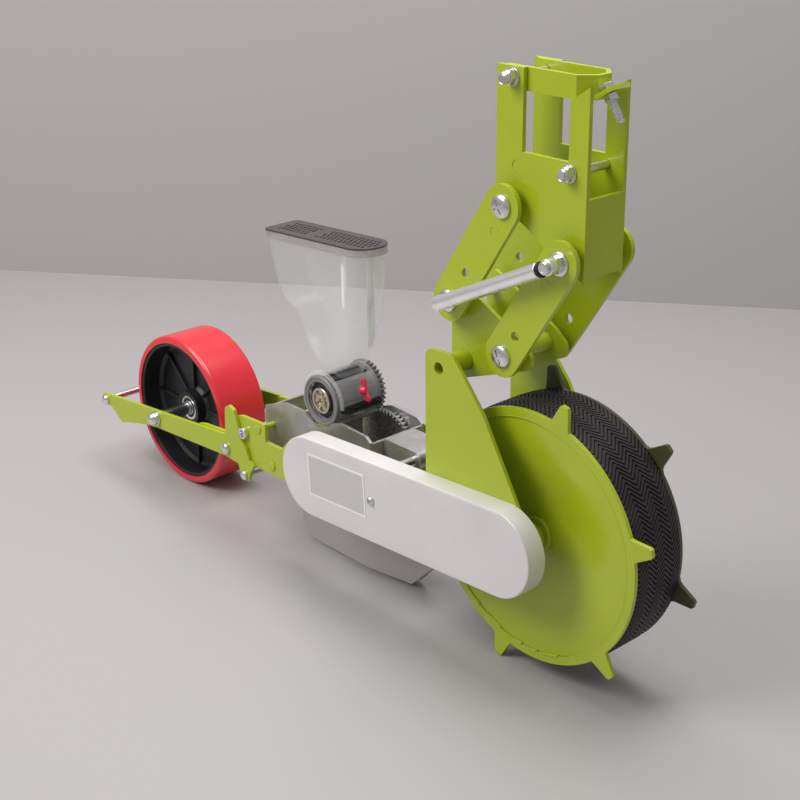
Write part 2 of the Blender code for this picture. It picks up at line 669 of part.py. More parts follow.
# ================================================================ seed meter
def seed_roller(carrier):
    """The roller with its ring of seed cells, its gear, and the shaft with the metal hub."""
    centre = (ROLLER_X, ROLLER_Z)
    near = HOUSING_NEAR + END_WALL + CELL_PLAY
    far = HOUSING_FAR - END_WALL - CELL_PLAY
    step = math.tau / CELL_COUNT
    half_cell = math.asin(CELL_R / ROLLER_R)
    rim = []
    mouth = ROLLER_R * math.cos(half_cell)
    for i in range(CELL_COUNT):
        middle = i * step
        cell = arc(mouth, 0, CELL_R, -math.pi / 2, -3 * math.pi / 2, 6)
        rim += turned_about(cell, centre, middle)
        rim += arc(*centre, ROLLER_R, middle + half_cell, middle + step - half_cell, 3)[1:-1]
    bore = circle(centre, ROLLER_SHAFT_R + GAP, SMALL)
    add("seed_roller", stack([([rim, bore], near, far)]), BLACK, carrier)
    gap_turn = ROLLER_LINE + math.pi + math.pi / ROLLER_GEAR_TEETH
    spur_gear("roller_gear", ROLLER_GEAR_TEETH, centre, ROLLER_SHAFT_R, gap_turn, BLACK, carrier)
    hub_end = near - GAP
    end = CARRIER_Y - CARRIER_WALL - RUNNING
    profile = [(0, HOUSING_NEAR - 0.003), (HUB_CAP_R, HOUSING_NEAR - 0.003), (HUB_CAP_R, hub_end),
               (ROLLER_SHAFT_R, hub_end), (ROLLER_SHAFT_R, end), (0, end)]
    add("roller_shaft", turned(profile, ROUND, centre), STEEL, carrier)


def housing_wall(start, end, block_line=None):
    """A curved wall of the meter housing, with a flat block on its outside if a line is given."""
    centre = (ROLLER_X, ROLLER_Z)
    inner_r = HOUSING_R - HOUSING_WALL
    if block_line is None:
        outer = arc(*centre, HOUSING_R, start, end, 8)
    else:
        half = 0.006
        spread = math.asin(half / HOUSING_R)
        foot = HOUSING_R * math.cos(spread)
        block = [(foot, -half), (HOUSING_R + WING_BLOCK, -half), (HOUSING_R + WING_BLOCK, half), (foot, half)]
        outer = (arc(*centre, HOUSING_R, start, block_line - spread, 2)[:-1]
                 + turned_about(block, centre, block_line)
                 + arc(*centre, HOUSING_R, block_line + spread, end, 4)[1:])
    return outer + arc(*centre, inner_r, end, start, 8)


def meter_housing(carrier):
    """The clear drum round the roller: open to the hopper, the chute, the brush and the window."""
    centre = (ROLLER_X, ROLLER_Z)
    up, down = math.pi / 2 + TILT, -math.pi / 2
    slot = math.asin((BRUSH_THICK / 2 + GAP) / (HOUSING_R - HOUSING_WALL))
    low_front = housing_wall(down + OUTLET, BRUSH_LINE - slot)
    rear = housing_wall(up + THROAT, down - OUTLET + math.tau)
    top_start, top_end = BRUSH_LINE + slot, up - THROAT
    plain = [low_front, housing_wall(top_start, top_end), rear]
    blocked = [low_front, housing_wall(top_start, top_end, WING_LINE), rear]
    disc = circle(centre, HOUSING_R, 36)
    near, far = HOUSING_NEAR + END_WALL, HOUSING_FAR - END_WALL
    mesh = stack([([disc, circle(centre, WINDOW_R, 24)], HOUSING_NEAR, near), (plain, near, -0.007),
                  (blocked, -0.007, 0.007), (plain, 0.007, far),
                  ([disc, circle(centre, ROLLER_SHAFT_R + RUNNING, SMALL)], far, HOUSING_FAR)])
    housing = add("meter_housing", mesh, CLEAR, carrier)
    hole = round_bar(WING_SCREW_R + RUNNING, HOUSING_R, HOUSING_R + WING_BLOCK + 0.002, placing=wing_frame())
    combine(housing, "DIFFERENCE", "wing_screw_hole", hole)
    ring_back = HOUSING_NEAR - GAP
    ring = bush(HOUSING_R - 0.001, WINDOW_R + 0.001, ring_back - WINDOW_RING, ring_back, centre, 32)
    add("window_ring", ring, GREY, carrier)


def brush(carrier):
    """The brush that wipes spare seed from the roller, through the housing's front slot."""
    low, high = ROLLER_R + GAP, HOUSING_R + 0.008
    block = rectangle(low, high, -BRUSH_THICK / 2, BRUSH_THICK / 2)
    outline = turned_about(block, (ROLLER_X, ROLLER_Z), BRUSH_LINE)
    near, far = HOUSING_NEAR + END_WALL + GAP, HOUSING_FAR - END_WALL - GAP
    add("wiper_brush", stack([([outline], near, far)]), BLACK, carrier)


def wing_frame():
    """Placing of the wing screw: +Z outward from the roller's axis."""
    turn = Matrix.Rotation(math.pi / 2 - WING_LINE, 4, "Y")
    return Matrix.Translation((ROLLER_X, 0, ROLLER_Z)) @ turn


def wing_screw(carrier):
    """The winged screw that clamps the hopper on the meter."""
    seat = HOUSING_R + WING_BLOCK + GAP
    boss_r, reach, half = 0.006, 0.013, 0.002
    start = math.asin(half / boss_r)
    wings = []
    for turn in (0, math.pi):
        wings += turned_about([(reach, -half), (reach + 0.0008, 0), (reach, half)], (0, 0), turn)
        wings += arc(0, 0, boss_r, turn + start, turn + math.pi - start, 7)
    mesh = stack([([circle((0, 0), WING_SCREW_R, SMALL)], HOUSING_R + GAP, seat),
                  ([circle((0, 0), boss_r)], seat, seat + 0.003), ([wings], seat + 0.003, seat + 0.009)],
                 wing_frame())
    add("wing_screw", mesh, WING_RED, carrier)


def meter_carrier(carrier):
    """The cast carrier: two profiled walls, end walls, the drum's cradle and the front lug."""
    low, high = CARRIER_Y - CARRIER_WALL, CARRIER_Y
    centre = (ROLLER_X, ROLLER_Z)
    dip = arc(*centre, HOUSING_R + GAP, math.radians(220), math.radians(320), 12)
    profile = ([(CARRIER_REAR, CARRIER_BASE), (CARRIER_REAR, 0.187), (-0.450, 0.196), (-0.429, 0.203),
                (-0.405, 0.203)] + dip
               + [(-0.319, 0.2085), (-0.271, 0.206), (CARRIER_FRONT, 0.200), (CARRIER_FRONT, CARRIER_BASE)])
    side = [profile, circle((REAR_ROD_X, REAR_ROD_Z), REAR_ROD_R + GAP, SMALL),
            circle((METER_X, METER_Z), METER_SHAFT_R + RUNNING)]
    rear = rectangle(CARRIER_REAR, CARRIER_REAR + CARRIER_WALL, CARRIER_BASE, 0.185)
    front_in = CARRIER_FRONT - CARRIER_WALL
    front = rectangle(front_in, CARRIER_FRONT, CARRIER_BASE, 0.198)
    cradle = []
    for start, end in ((220, 243), (297, 320)):
        start, end = math.radians(start), math.radians(end)
        cradle.append(arc(*centre, HOUSING_R + GAP, start, end, 4)
                      + arc(*centre, HOUSING_R + GAP + CRADLE_WALL, end, start, 4))
    boss_r = FRONT_ROD_R + 0.005
    lug = ([(front_in, CARRIER_BASE), (CARRIER_FRONT, CARRIER_BASE), (CARRIER_FRONT, FRONT_ROD_Z - boss_r)]
           + arc(FRONT_ROD_X, FRONT_ROD_Z, boss_r, -math.pi / 2, math.pi / 2, 10)
           + [(CARRIER_FRONT + 0.004, FRONT_ROD_Z + boss_r), (front_in, 0.198)])
    lug_hole = circle((FRONT_ROD_X, FRONT_ROD_Z), FRONT_ROD_R + GAP)
    lug_half, cradle_end = 0.024, HOUSING_FAR + GAP
    mesh = stack([(side, -high, -low), ([rear, front] + cradle, -low, -lug_half),
                  ([rear, lug, lug_hole] + cradle, -lug_half, lug_half),
                  ([rear, front] + cradle, lug_half, cradle_end), ([rear, front], cradle_end, low),
                  (side, low, high)])
    add("meter_carrier", mesh, CAST, carrier)


def drum_cutter():
    """The space that the round housing takes from what is fitted to it."""
    return round_bar(HOUSING_R + GAP, HOUSING_NEAR, HOUSING_FAR, (ROLLER_X, ROLLER_Z), count=36)


def d_shape(rear, front, half, corner=0.006):
    """A plan that is square at the rear and round at the front."""
    return (arc(front - half, 0, half, -math.pi / 2, math.pi / 2, 12)
            + arc(rear + corner, half - corner, corner, math.pi / 2, math.pi, 3)
            + arc(rear + corner, corner - half, corner, math.pi, 3 * math.pi / 2, 3))


def tilted():
    """From the meter's own frame, level with its shaft, to machine coordinates."""
    return Matrix.Translation((METER_X, 0, METER_Z)) @ Matrix.Rotation(-TILT, 4, "Y")


def hopper(carrier):
    """The clear seed hopper; its foot is cut to sit on the round housing."""
    t = HOPPER_WALL
    outer = [(d_shape(rear, front, half), v) for v, rear, front, half in HOPPER_LEVELS]
    inner = [(d_shape(rear + t, front - t, half - t), v) for v, rear, front, half in HOPPER_LEVELS]
    shell = lofted_shell(outer, inner)
    shell.transform(tilted())
    obj = add("hopper", shell, CLEAR, carrier)
    combine(obj, "DIFFERENCE", "hopper_foot_cut", drum_cutter())


def hopper_lid(carrier):
    """The smoked lid, whose skirt slips over the hopper's rim."""
    rim_v, rear, front, half = HOPPER_LEVELS[-1]
    inside_plan = d_shape(rear - LID_PLAY, front + LID_PLAY, half + LID_PLAY)
    grow = LID_PLAY + LID_WALL
    plan = d_shape(rear - grow, front + grow, half + grow)
    seat = rim_v + GAP
    lid = stack([([plan, inside_plan], rim_v - LID_SKIRT, seat), ([plan], seat, seat + LID_TOP)], tilted())
    add("hopper_lid", lid, SMOKE, carrier)


def seed_chute(carrier):
    """The square tube that leads seed down into the shoe; its top is cut to fit the round housing."""
    half_u, half_y, t = CHUTE_LENGTH / 2, CHUTE_WIDTH / 2, CHUTE_WALL
    outer = rectangle(ROLLER_X - half_u, ROLLER_X + half_u, -half_y, half_y)
    inner = rectangle(ROLLER_X - half_u + t, ROLLER_X + half_u - t, t - half_y, half_y - t)
    top = ROLLER_Z - math.sqrt((HOUSING_R + GAP) ** 2 - half_u ** 2)
    obj = add("seed_chute", stack([([outer, inner], CHUTE_FOOT, top)], UPRIGHT), GREY, carrier)
    combine(obj, "DIFFERENCE", "chute_saddle_cut", drum_cutter())


# ================================================================ opener shoe
def opener_shoe(carrier):
    """A boat of steel sheet: straight sides that meet in a raked nose, open below and behind."""
    half, t = SHOE_HALF, SHOE_WALL
    crotch = SHOE_NOSE - 0.012
    outline = [(SHOE_REAR, -half), (SHOE_SHOULDER, -half), (SHOE_NOSE, -0.001), (SHOE_NOSE, 0.001),
               (SHOE_SHOULDER, half), (SHOE_REAR, half), (SHOE_REAR, half - t), (SHOE_SHOULDER, half - t),
               (crotch, 0.0), (SHOE_SHOULDER, t - half), (SHOE_REAR, t - half)]
    mesh = stack([([outline], SHOE_SOLE, SHOE_TOP)], UPRIGHT)
    trimmed(mesh, (-0.229, 0, SHOE_SOLE), (1, 0, -1))
    trimmed(mesh, (-0.195, 0, 0.039), (21, 0, -15))
    trimmed(mesh, (-0.422, 0, SHOE_SOLE), (-40, 0, -13))
    shoe = add("opener_shoe", mesh, SILVER, carrier)
    hole = round_bar(SHOE_BOLT_R + GAP, -half - 0.002, half + 0.002, (SHOE_BOLT_X, SHOE_BOLT_Z))
    combine(shoe, "DIFFERENCE", "shoe_bolt_hole", hole)


# ================================================================ press wheel
def press_wheel(carrier):
    """Polyurethane tyre on a black webbed hub, with two ball bearings."""
    centre = (PRESS_X, PRESS_R)
    half, bead = PRESS_HALF, 0.003
    tyre_in = PRESS_R - PRESS_TYRE
    tyre = [(tyre_in, -half), (tyre_in, half), (PRESS_R - bead, half), (PRESS_R, half - bead),
            (PRESS_R, bead - half), (PRESS_R - bead, -half)]
    add("press_tyre", turned(tyre, PRESS_SIDES, centre), RED, carrier)
    rim_out = tyre_in - GAP
    rim_in, rim = rim_out - PRESS_RIM, PRESS_RIM_HALF
    seat, web = PRESS_BEARING_R + GAP, PRESS_WEB / 2
    mouth = PRESS_BOSS_HALF
    depth = mouth - 0.001 - PRESS_BEARING_W
    bore = PRESS_AXLE_R + 0.003
    hub = [(seat, mouth), (PRESS_BOSS_R, mouth), (PRESS_BOSS_R, web), (rim_in, web), (rim_in, rim),
           (rim_out, rim), (rim_out, -rim), (rim_in, -rim), (rim_in, -web), (PRESS_BOSS_R, -web),
           (PRESS_BOSS_R, -mouth), (seat, -mouth), (seat, GAP - depth), (bore, GAP - depth),
           (bore, depth - GAP), (seat, depth - GAP)]
    add("press_hub", turned(hub, PRESS_SIDES, centre), BLACK, carrier)
    for side in (-1, 1):
        low, high = sorted((side * depth, side * (depth + PRESS_BEARING_W)))
        race = bush(PRESS_BEARING_R, PRESS_AXLE_R + RUNNING, low, high, centre)
        add(f"{side_name(side)}_press_bearing", race, STEEL, carrier)


def arm_outline():
    """A press wheel arm: tail, bar, and a head with a spike above and a toe below."""
    return filleted([
        (-0.8350, 0.1070, 0.002), (-0.8320, 0.0910, 0.004), (-0.8120, 0.0900, 0.003), (-0.7870, 0.0730, 0.004),
        (-0.7680, 0.0790, 0.003), (-0.7120, 0.0920), (-0.6850, 0.0950), (-0.5265, 0.1060), (-0.4965, 0.1040),
        (-0.4900, 0.0840, 0.005), (-0.4760, 0.0840, 0.005), (-0.4700, 0.1000, 0.004), (-0.4620, 0.1100, 0.002),
        (-0.4720, 0.1160), (-0.4790, 0.1330, 0.004), (-0.4930, 0.1460, 0.004), (-0.4940, 0.1600),
        (-0.5010, 0.1800, 0.004), (-0.5120, 0.1840, 0.004), (-0.5210, 0.1780, 0.003), (-0.5235, 0.1380, 0.003)], 3)


def press_arms(carrier):
    """Both arms, the wheel's axle with its nuts, the tie rod of the toes and the tail bolt."""
    axle = (PRESS_X, PRESS_R)
    holes = [circle(axle, PRESS_AXLE_R + GAP, SMALL)]
    for x, z, r in ((ARM_X, ARM_Z, ARM_BOLT_R), (TIE_X, TIE_Z, TIE_R), (TAIL_X, TAIL_Z, ARM_BOLT_R)):
        holes.append(circle((x, z), r + GAP, SMALL))
    for side in (-1, 1):
        arm = sided(side, [([arm_outline()] + holes, -ARM_OUT, -ARM_IN)])
        add(f"{side_name(side)}_press_arm", stack(arm), PAINT, carrier)
    shaft, nut, collar = [circle(axle, PRESS_AXLE_R, SMALL)], [hexagon(axle, 0.019)], [circle(axle, 0.009)]
    grip, spacer = ARM_OUT + GAP, PRESS_BOSS_HALF - 0.001 + GAP
    half = [(shaft, -grip - 0.013, -grip - 0.010), (nut, -grip - 0.010, -grip), (shaft, -grip, GAP - ARM_IN),
            (collar, GAP - ARM_IN, -spacer)]
    mesh = stack(half + [(shaft, -spacer, spacer)] + sided(1, half))
    add("press_axle", mesh, ZINC, carrier)
    tie = cross_bolt((TIE_X, TIE_Z), TIE_R, grip, 0.005, 0.006, 0.013, round_head=True)
    add("toe_tie_rod", tie, ZINC, carrier)
    tail = cross_bolt((TAIL_X, TAIL_Z), ARM_BOLT_R, grip, 0.006, 0.007, 0.015)
    add("tail_bolt", tail, ZINC, carrier)


# ================================================================ linkage
def pin_hole(centre):
    return circle(centre, PIN_R + RUNNING, SMALL)


def link_bracket(carrier):
    """The frame's end of the linkage: two plates with bosses, joined by a tube and a rear web."""
    plate = BRACKET_Y - PLATE
    boss_end = LINK_IN - GAP
    outline = filleted([
        (-0.1350, 0.3520, 0.003), (-0.1350, 0.4280, 0.008), (-0.1240, 0.4380, 0.006), (-0.0880, 0.4210, 0.010),
        (-0.0300, 0.3910, 0.010), (-0.0140, 0.3770, 0.006), (-0.0140, 0.3620, 0.006), (-0.0410, 0.3515, 0.004),
        (-0.1170, 0.3240, 0.008)])
    cheek = [outline, pin_hole(PIVOT_C), pin_hole(PIVOT_D), circle((EAR_X, EAR_Z), EAR_TUBE_R + GAP)]
    bosses = [circle(PIVOT_C, BOSS_RING_R), pin_hole(PIVOT_C), circle(PIVOT_D, BOSS_RING_R), pin_hole(PIVOT_D)]
    middle = [circle(PIVOT_D, SPACER_R), pin_hole(PIVOT_D), rectangle(-0.1350, -0.1300, 0.3520, 0.3930)]
    mesh = stack([(bosses, -boss_end, -BRACKET_Y), (cheek, -BRACKET_Y, -plate), (middle, -plate, plate),
                  (cheek, plate, BRACKET_Y), (bosses, BRACKET_Y, boss_end)])
    add("link_bracket", mesh, PAINT, carrier)


def plain_pin(name, centre, stub, carrier):
    """A pivot bolt with a large flat head; a stub on the head holds the strut's tube."""
    out = LINK_IN + LINK_PLATE + GAP
    shank = [circle(centre, PIN_R, SMALL)]
    sections = [([circle(centre, PIN_HEAD_R)], -out - PIN_HEAD, -out), (shank, -out, out),
                ([hexagon(centre, 0.018)], out, out + 0.010), (shank, out + 0.010, out + 0.013)]
    if stub:
        sections.insert(0, ([circle(centre, STUD_R, SMALL)], -out - PIN_HEAD - 0.0035, -out - PIN_HEAD))
    add(name, stack(sections), ZINC, carrier)


def stud_pin(carrier):
    """The pivot bolt at B, which runs on outward as the stud of the strut's eye."""
    out = LINK_IN + LINK_PLATE + GAP
    eye_in, eye_out = STRUT_Y + EYE_HALF + GAP, STRUT_Y - EYE_HALF - GAP
    shank, stud = [circle(PIVOT_B, PIN_R, SMALL)], [circle(PIVOT_B, STUD_R, SMALL)]
    washer, nut = [circle(PIVOT_B, PIN_HEAD_R)], [hexagon(PIVOT_B, 0.016)]
    sections = [([circle(PIVOT_B, STUD_R + 0.003)], eye_out - 0.004, eye_out), (stud, eye_out, eye_in),
                (nut, eye_in, -out - 0.002), (washer, -out - 0.002, -out), (shank, -out, out),
                ([hexagon(PIVOT_B, 0.018)], out, out + 0.010), (shank, out + 0.010, out + 0.013)]
    add("pivot_bolt_b", stack(sections), ZINC, carrier)


def link(name, start, lock_hole, side, carrier):
    """One arm of the linkage, with round ends and a lock hole."""
    end = (start[0] + ARM_REACH[0], start[1] + ARM_REACH[1])
    loops = [belt(start, end, LINK_R, LINK_R, 12), pin_hole(start), pin_hole(end),
             circle(lock_hole, LOCK_HOLE_R, SMALL)]
    arm = sided(side, [(loops, -LINK_IN - LINK_PLATE, -LINK_IN)])
    add(f"{side_name(side)}_{name}", stack(arm), PAINT, carrier)


def strut_frame():
    """Placing of the strut, +Z from C to B outside the near arms, and its length."""
    along = Vector((PIVOT_B[0] - PIVOT_C[0], 0, PIVOT_B[1] - PIVOT_C[1]))
    turn = Matrix.Rotation(math.atan2(along.x, along.z), 4, "Y")
    return Matrix.Translation((PIVOT_C[0], STRUT_Y, PIVOT_C[1])) @ turn, along.length


def strut(tube_carrier, rod_carrier):
    """The spring strut: a tube hung on bolt C, and a rod that ends in an eye round B."""
    placing, reach = strut_frame()
    foot, mouth = -0.008, reach - 0.014
    bore = STRUT_R - STRUT_WALL
    profile = [(0, foot), (STRUT_R, foot), (STRUT_R, mouth), (ROD_R + RUNNING, mouth),
               (ROD_R + RUNNING, mouth - STRUT_GUIDE), (bore, mouth - STRUT_GUIDE), (bore, foot + 0.003),
               (0, foot + 0.003)]
    tube = add("strut_tube", turned(profile, placing=placing), STEEL, tube_carrier)
    seat = round_bar(STUD_R + RUNNING, STRUT_Y, STRUT_Y + STRUT_R + 0.002, PIVOT_C)
    combine(tube, "DIFFERENCE", "strut_seat_hole", seat)
    eye = stack([([circle(PIVOT_B, EYE_R), circle(PIVOT_B, STUD_R + EYE_PLAY)],
                  STRUT_Y - EYE_HALF, STRUT_Y + EYE_HALF)])
    rod = add("strut_rod", eye, STEEL, rod_carrier)
    piston_r, collar_r = bore - RUNNING, STRUT_R
    collar = mouth + GAP
    end = reach - EYE_R + 0.0015
    profile = [(0, 0.020), (piston_r, 0.020), (piston_r, 0.026), (ROD_R, 0.026), (ROD_R, collar),
               (collar_r, collar), (collar_r, collar + 0.0035), (ROD_R, collar + 0.0035), (ROD_R, end), (0, end)]
    combine(rod, "UNION", "strut_rod_shank", turned(profile, SMALL, placing=placing))


# ================================================================ head bracket
def cheek_outline():
    """A cheek with the toolbar notch; its lower edge runs along the pivots A and B."""
    slope = (PIVOT_B[1] - PIVOT_A[1]) / (PIVOT_B[0] - PIVOT_A[0])
    rear_foot = PIVOT_A[1] + slope * (HEAD_REAR - PIVOT_A[0]) - HEAD_UNDER
    front_foot = PIVOT_A[1] + slope * (HEAD_FRONT - PIVOT_A[0]) - HEAD_UNDER
    return [(HEAD_REAR, rear_foot), (HEAD_FRONT, front_foot), (HEAD_FRONT, HEAD_TOP - 0.008),
            (BAR_FRONT, GATE_UNDER - GAP), (BAR_FRONT, BAR_FLOOR), (BAR_REAR, BAR_FLOOR), (BAR_REAR, HEAD_TOP),
            (HEAD_REAR, HEAD_TOP)]


def head_bracket(carrier):
    """The welded head: two cheeks with bosses, the front plate, and the cheeks' two bolts."""
    outline = cheek_outline()
    plate = BRACKET_Y - PLATE
    boss_end = LINK_IN - GAP
    cheek = [outline, pin_hole(PIVOT_A), pin_hole(PIVOT_B), circle(GATE_PIN, HEAD_BOLT_R + GAP, SMALL),
             circle(CLAMP_BOLT, HEAD_BOLT_R + GAP, SMALL)]
    bosses = [circle(PIVOT_A, BOSS_RING_R), pin_hole(PIVOT_A), circle(PIVOT_B, BOSS_RING_R), pin_hole(PIVOT_B)]
    front = [rectangle(HEAD_FRONT - PLATE, HEAD_FRONT, outline[1][1] + 0.003, FRONT_PLATE_TOP)]
    mesh = stack([(bosses, -boss_end, -BRACKET_Y), (cheek, -BRACKET_Y, -plate), (front, -plate, plate),
                  (cheek, plate, BRACKET_Y), (bosses, BRACKET_Y, boss_end)])
    add("head_bracket", mesh, PAINT, carrier)
    for name, centre, head in (("gate_pin", GATE_PIN, 0.016), ("clamp_bolt", CLAMP_BOLT, 0.013)):
        add(name, cross_bolt(centre, HEAD_BOLT_R, BRACKET_Y + GAP, head, 0.009, 0.015), ZINC, carrier)


def tab_frame():
    """Placing of the gate's tab: +Z along the set screw, forward and down."""
    turn = Matrix.Rotation(math.pi - TAB_RISE, 4, "Y")
    return Matrix.Translation((GATE_TAB[0], 0, GATE_TAB[1])) @ turn


def clamp_gate(carrier):
    """The gate that closes the toolbar notch: a strap bent round inside the cheeks, with a tab."""
    out = BRACKET_Y - PLATE - GAP
    inner = out - PLATE
    chamfer = 0.016
    strap = [(GATE_REAR, -out), (GATE_FRONT - chamfer, -out), (GATE_FRONT, chamfer - out),
             (GATE_FRONT, out - chamfer), (GATE_FRONT - chamfer, out), (GATE_REAR, out), (GATE_REAR, inner),
             (GATE_FRONT - chamfer - 0.002, inner), (GATE_FRONT - PLATE, out - chamfer - 0.002),
             (GATE_FRONT - PLATE, chamfer + 0.002 - out), (GATE_FRONT - chamfer - 0.002, -inner),
             (GATE_REAR, -inner)]
    gate = add("clamp_gate", stack([([strap], GATE_UNDER, HEAD_TOP)], UPRIGHT), PAINT, carrier)
    tab_plan = rectangle(-0.0105, 0.0145, -TAB_HALF, TAB_HALF)
    combine(gate, "UNION", "gate_tab", stack([([tab_plan], -PLATE / 2, PLATE / 2)], tab_frame()))
    pin = round_bar(HEAD_BOLT_R + RUNNING, -out - 0.002, out + 0.002, GATE_PIN)
    combine(gate, "DIFFERENCE", "gate_pin_hole", pin)
    bolt_frame = tab_frame() @ Matrix.Translation((0, SET_SCREW_Y, 0))
    hole = round_bar(SET_SCREW_R + GAP, -PLATE, PLATE, placing=bolt_frame)
    combine(gate, "DIFFERENCE", "set_screw_hole", hole)
    grip = PLATE / 2 + GAP
    hexagonal, shank = [hexagon((0, 0), 0.013)], [circle((0, 0), SET_SCREW_R, SMALL)]
    screw = stack([(hexagonal, -grip - 0.005, -grip), (shank, -grip, grip), (hexagonal, grip, grip + 0.007),
                   (shank, grip + 0.007, grip + 0.030)], bolt_frame)
    add("gate_set_screw", screw, ZINC, carrier)


# ================================================================ the whole unit
def stand_on_origin(root):
    """Moves the unit so that the bottom centre of its bounding box is at the world origin."""
    bpy.context.view_layer.update()
    graph = bpy.context.evaluated_depsgraph_get()
    corners = []
    for obj in bpy.context.scene.objects:
        if obj.type == "MESH" and not obj.hide_render:
            evaluated = obj.evaluated_get(graph)
            corners += [evaluated.matrix_world @ Vector(corner) for corner in evaluated.bound_box]
    low = [min(corner[i] for corner in corners) for i in range(3)]
    high = [max(corner[i] for corner in corners) for i in range(3)]
    root.location = (-(low[0] + high[0]) / 2, -(low[1] + high[1]) / 2, -low[2])


def build():
    for obj in list(bpy.data.objects):
        bpy.data.objects.remove(obj, do_unlink=True)
    root = pivot("planter")
    wheel = pivot("drive_wheel_pivot", root, 0, AXLE_Z)
    meter = pivot("meter_pivot", root, METER_X, METER_Z)
    roller = pivot("roller_pivot", root, ROLLER_X, ROLLER_Z)
    wing = pivot("wing_pivot", root, ROLLER_X, ROLLER_Z)
    lid = pivot("lid_slide", root, METER_X, METER_Z)
    arms = pivot("press_arm_pivot", root, ARM_X, ARM_Z)
    press = pivot("press_wheel_pivot", arms, PRESS_X, PRESS_R)
    rear_links = pivot("rear_link_pivot", root, *PIVOT_C)
    front_links = pivot("front_link_pivot", root, *PIVOT_D)
    head = pivot("head_pivot", rear_links, *PIVOT_A)
    gate = pivot("gate_pivot", head, *GATE_PIN)
    strut_outer = pivot("strut_pivot", root, *PIVOT_C)
    strut_inner = pivot("strut_slide", strut_outer, *PIVOT_C)

    for side in (-1, 1):
        lug_ring(side, wheel)
        wheel_disc(side, side < 0, wheel)
    tread(wheel)
    drive_axle(wheel)
    sprocket("drive_sprocket", DRIVE_TEETH, (0, AXLE_Z), AXLE_R, wheel)
    for side in (-1, 1):
        side_plate(side, root)
    frame_rods(root)
    chain_drive(root)
    meter_drive(meter)
    seed_roller(roller)
    meter_housing(root)
    brush(root)
    wing_screw(wing)
    meter_carrier(root)
    hopper(root)
    hopper_lid(lid)
    seed_chute(root)
    opener_shoe(root)
    press_wheel(press)
    press_arms(arms)
    link_bracket(root)
    plain_pin("pivot_bolt_c", PIVOT_C, True, root)
    plain_pin("pivot_bolt_d", PIVOT_D, False, root)
    plain_pin("pivot_bolt_a", PIVOT_A, False, head)
    stud_pin(head)
    for side in (-1, 1):
        link("rear_link", PIVOT_C, (-0.099, 0.454), side, rear_links)
        link("front_link", PIVOT_D, (-0.024, 0.401), side, front_links)
    strut(strut_outer, strut_inner)
    head_bracket(head)
    clamp_gate(gate)
    stand_on_origin(root)


build()
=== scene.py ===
"""Visual model of a single-row seed planter unit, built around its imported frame.

Lengths are in metres. Pieces are laid out from the drive axle (x forward, z up from the
ground, y from the machine's middle plane) and are moved to the frame's place as they are
finished. "Near" is the side of the chain cover.
"""

import enum
import json
import logging
import math
from dataclasses import dataclass, field
from typing import NamedTuple

import bpy
from mathutils import Matrix, Vector


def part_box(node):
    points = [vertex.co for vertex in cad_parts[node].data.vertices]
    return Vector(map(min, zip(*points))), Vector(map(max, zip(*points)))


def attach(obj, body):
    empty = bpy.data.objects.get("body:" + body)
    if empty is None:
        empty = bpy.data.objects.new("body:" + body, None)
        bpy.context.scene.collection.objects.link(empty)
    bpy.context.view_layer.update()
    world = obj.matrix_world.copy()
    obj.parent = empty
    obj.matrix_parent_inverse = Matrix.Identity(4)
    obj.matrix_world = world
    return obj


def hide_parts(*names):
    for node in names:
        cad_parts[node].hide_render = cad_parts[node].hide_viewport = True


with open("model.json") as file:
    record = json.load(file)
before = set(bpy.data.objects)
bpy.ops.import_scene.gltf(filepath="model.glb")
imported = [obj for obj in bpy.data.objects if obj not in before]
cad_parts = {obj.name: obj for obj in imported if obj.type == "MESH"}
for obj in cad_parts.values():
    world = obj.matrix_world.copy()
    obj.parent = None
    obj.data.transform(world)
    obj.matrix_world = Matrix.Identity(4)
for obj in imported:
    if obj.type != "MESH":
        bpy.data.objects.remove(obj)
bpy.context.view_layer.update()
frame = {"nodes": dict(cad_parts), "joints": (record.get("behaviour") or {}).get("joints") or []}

LOG = logging.getLogger("planter")
Point = tuple[float, float]
Loop = list[Point]
JOINTS = {joint["name"]: Vector(joint["pos_m"]) for joint in frame["joints"] if "pos_m" in joint}
AXLE = JOINTS["drive_wheel_spin"]
FIT = Matrix.Translation((AXLE.x, AXLE.y, 0))
SIDEWAYS = Matrix.Rotation(math.pi / 2, 4, "X")
ACROSS = Matrix.Rotation(-math.pi / 2, 4, "X")
GAP = 0.0003                                             # between pieces that touch
HAIR, FINE, EDGE, SOFT = 0.0001, 0.0002, 0.0003, 0.0005  # radii of rounded edges


def anchor(joint: str) -> Point:
    """The (x, z) place of a joint's axis, from the drive axle's foot."""
    place = JOINTS[joint]
    return place.x - AXLE.x, place.z


# ---------------------------------------------------------------- outlines
def arc(centre: Point, radius: float, start: float, end: float, steps: int) -> Loop:
    """Points along an arc, both ends included."""
    turns = [start + (end - start) * i / steps for i in range(steps + 1)]
    return [(centre[0] + radius * math.cos(t), centre[1] + radius * math.sin(t)) for t in turns]


def circle(centre: Point, radius: float, steps: int = 48) -> Loop:
    """A closed round outline."""
    return arc(centre, radius, 0, math.tau, steps)[:-1]


def hexagon(centre: Point, flats: float) -> Loop:
    """A six-sided outline of a width across its flats."""
    return circle(centre, flats / 2 / math.cos(math.pi / 6), 6)


def on_circle(centre: Point, radius: float, angle: float) -> Point:
    """The point at an angle on a circle."""
    return centre[0] + radius * math.cos(angle), centre[1] + radius * math.sin(angle)


def rod(radius: float, low: float, high: float) -> Loop:
    """The profile of a plain rod, to be turned about its axis."""
    return [(0, low), (radius, low), (radius, high), (0, high)]


def flipped(profile: Loop, side: int) -> Loop:
    """A profile of the far side, or its mirror image for side -1."""
    return [(radius, side * height) for radius, height in profile]


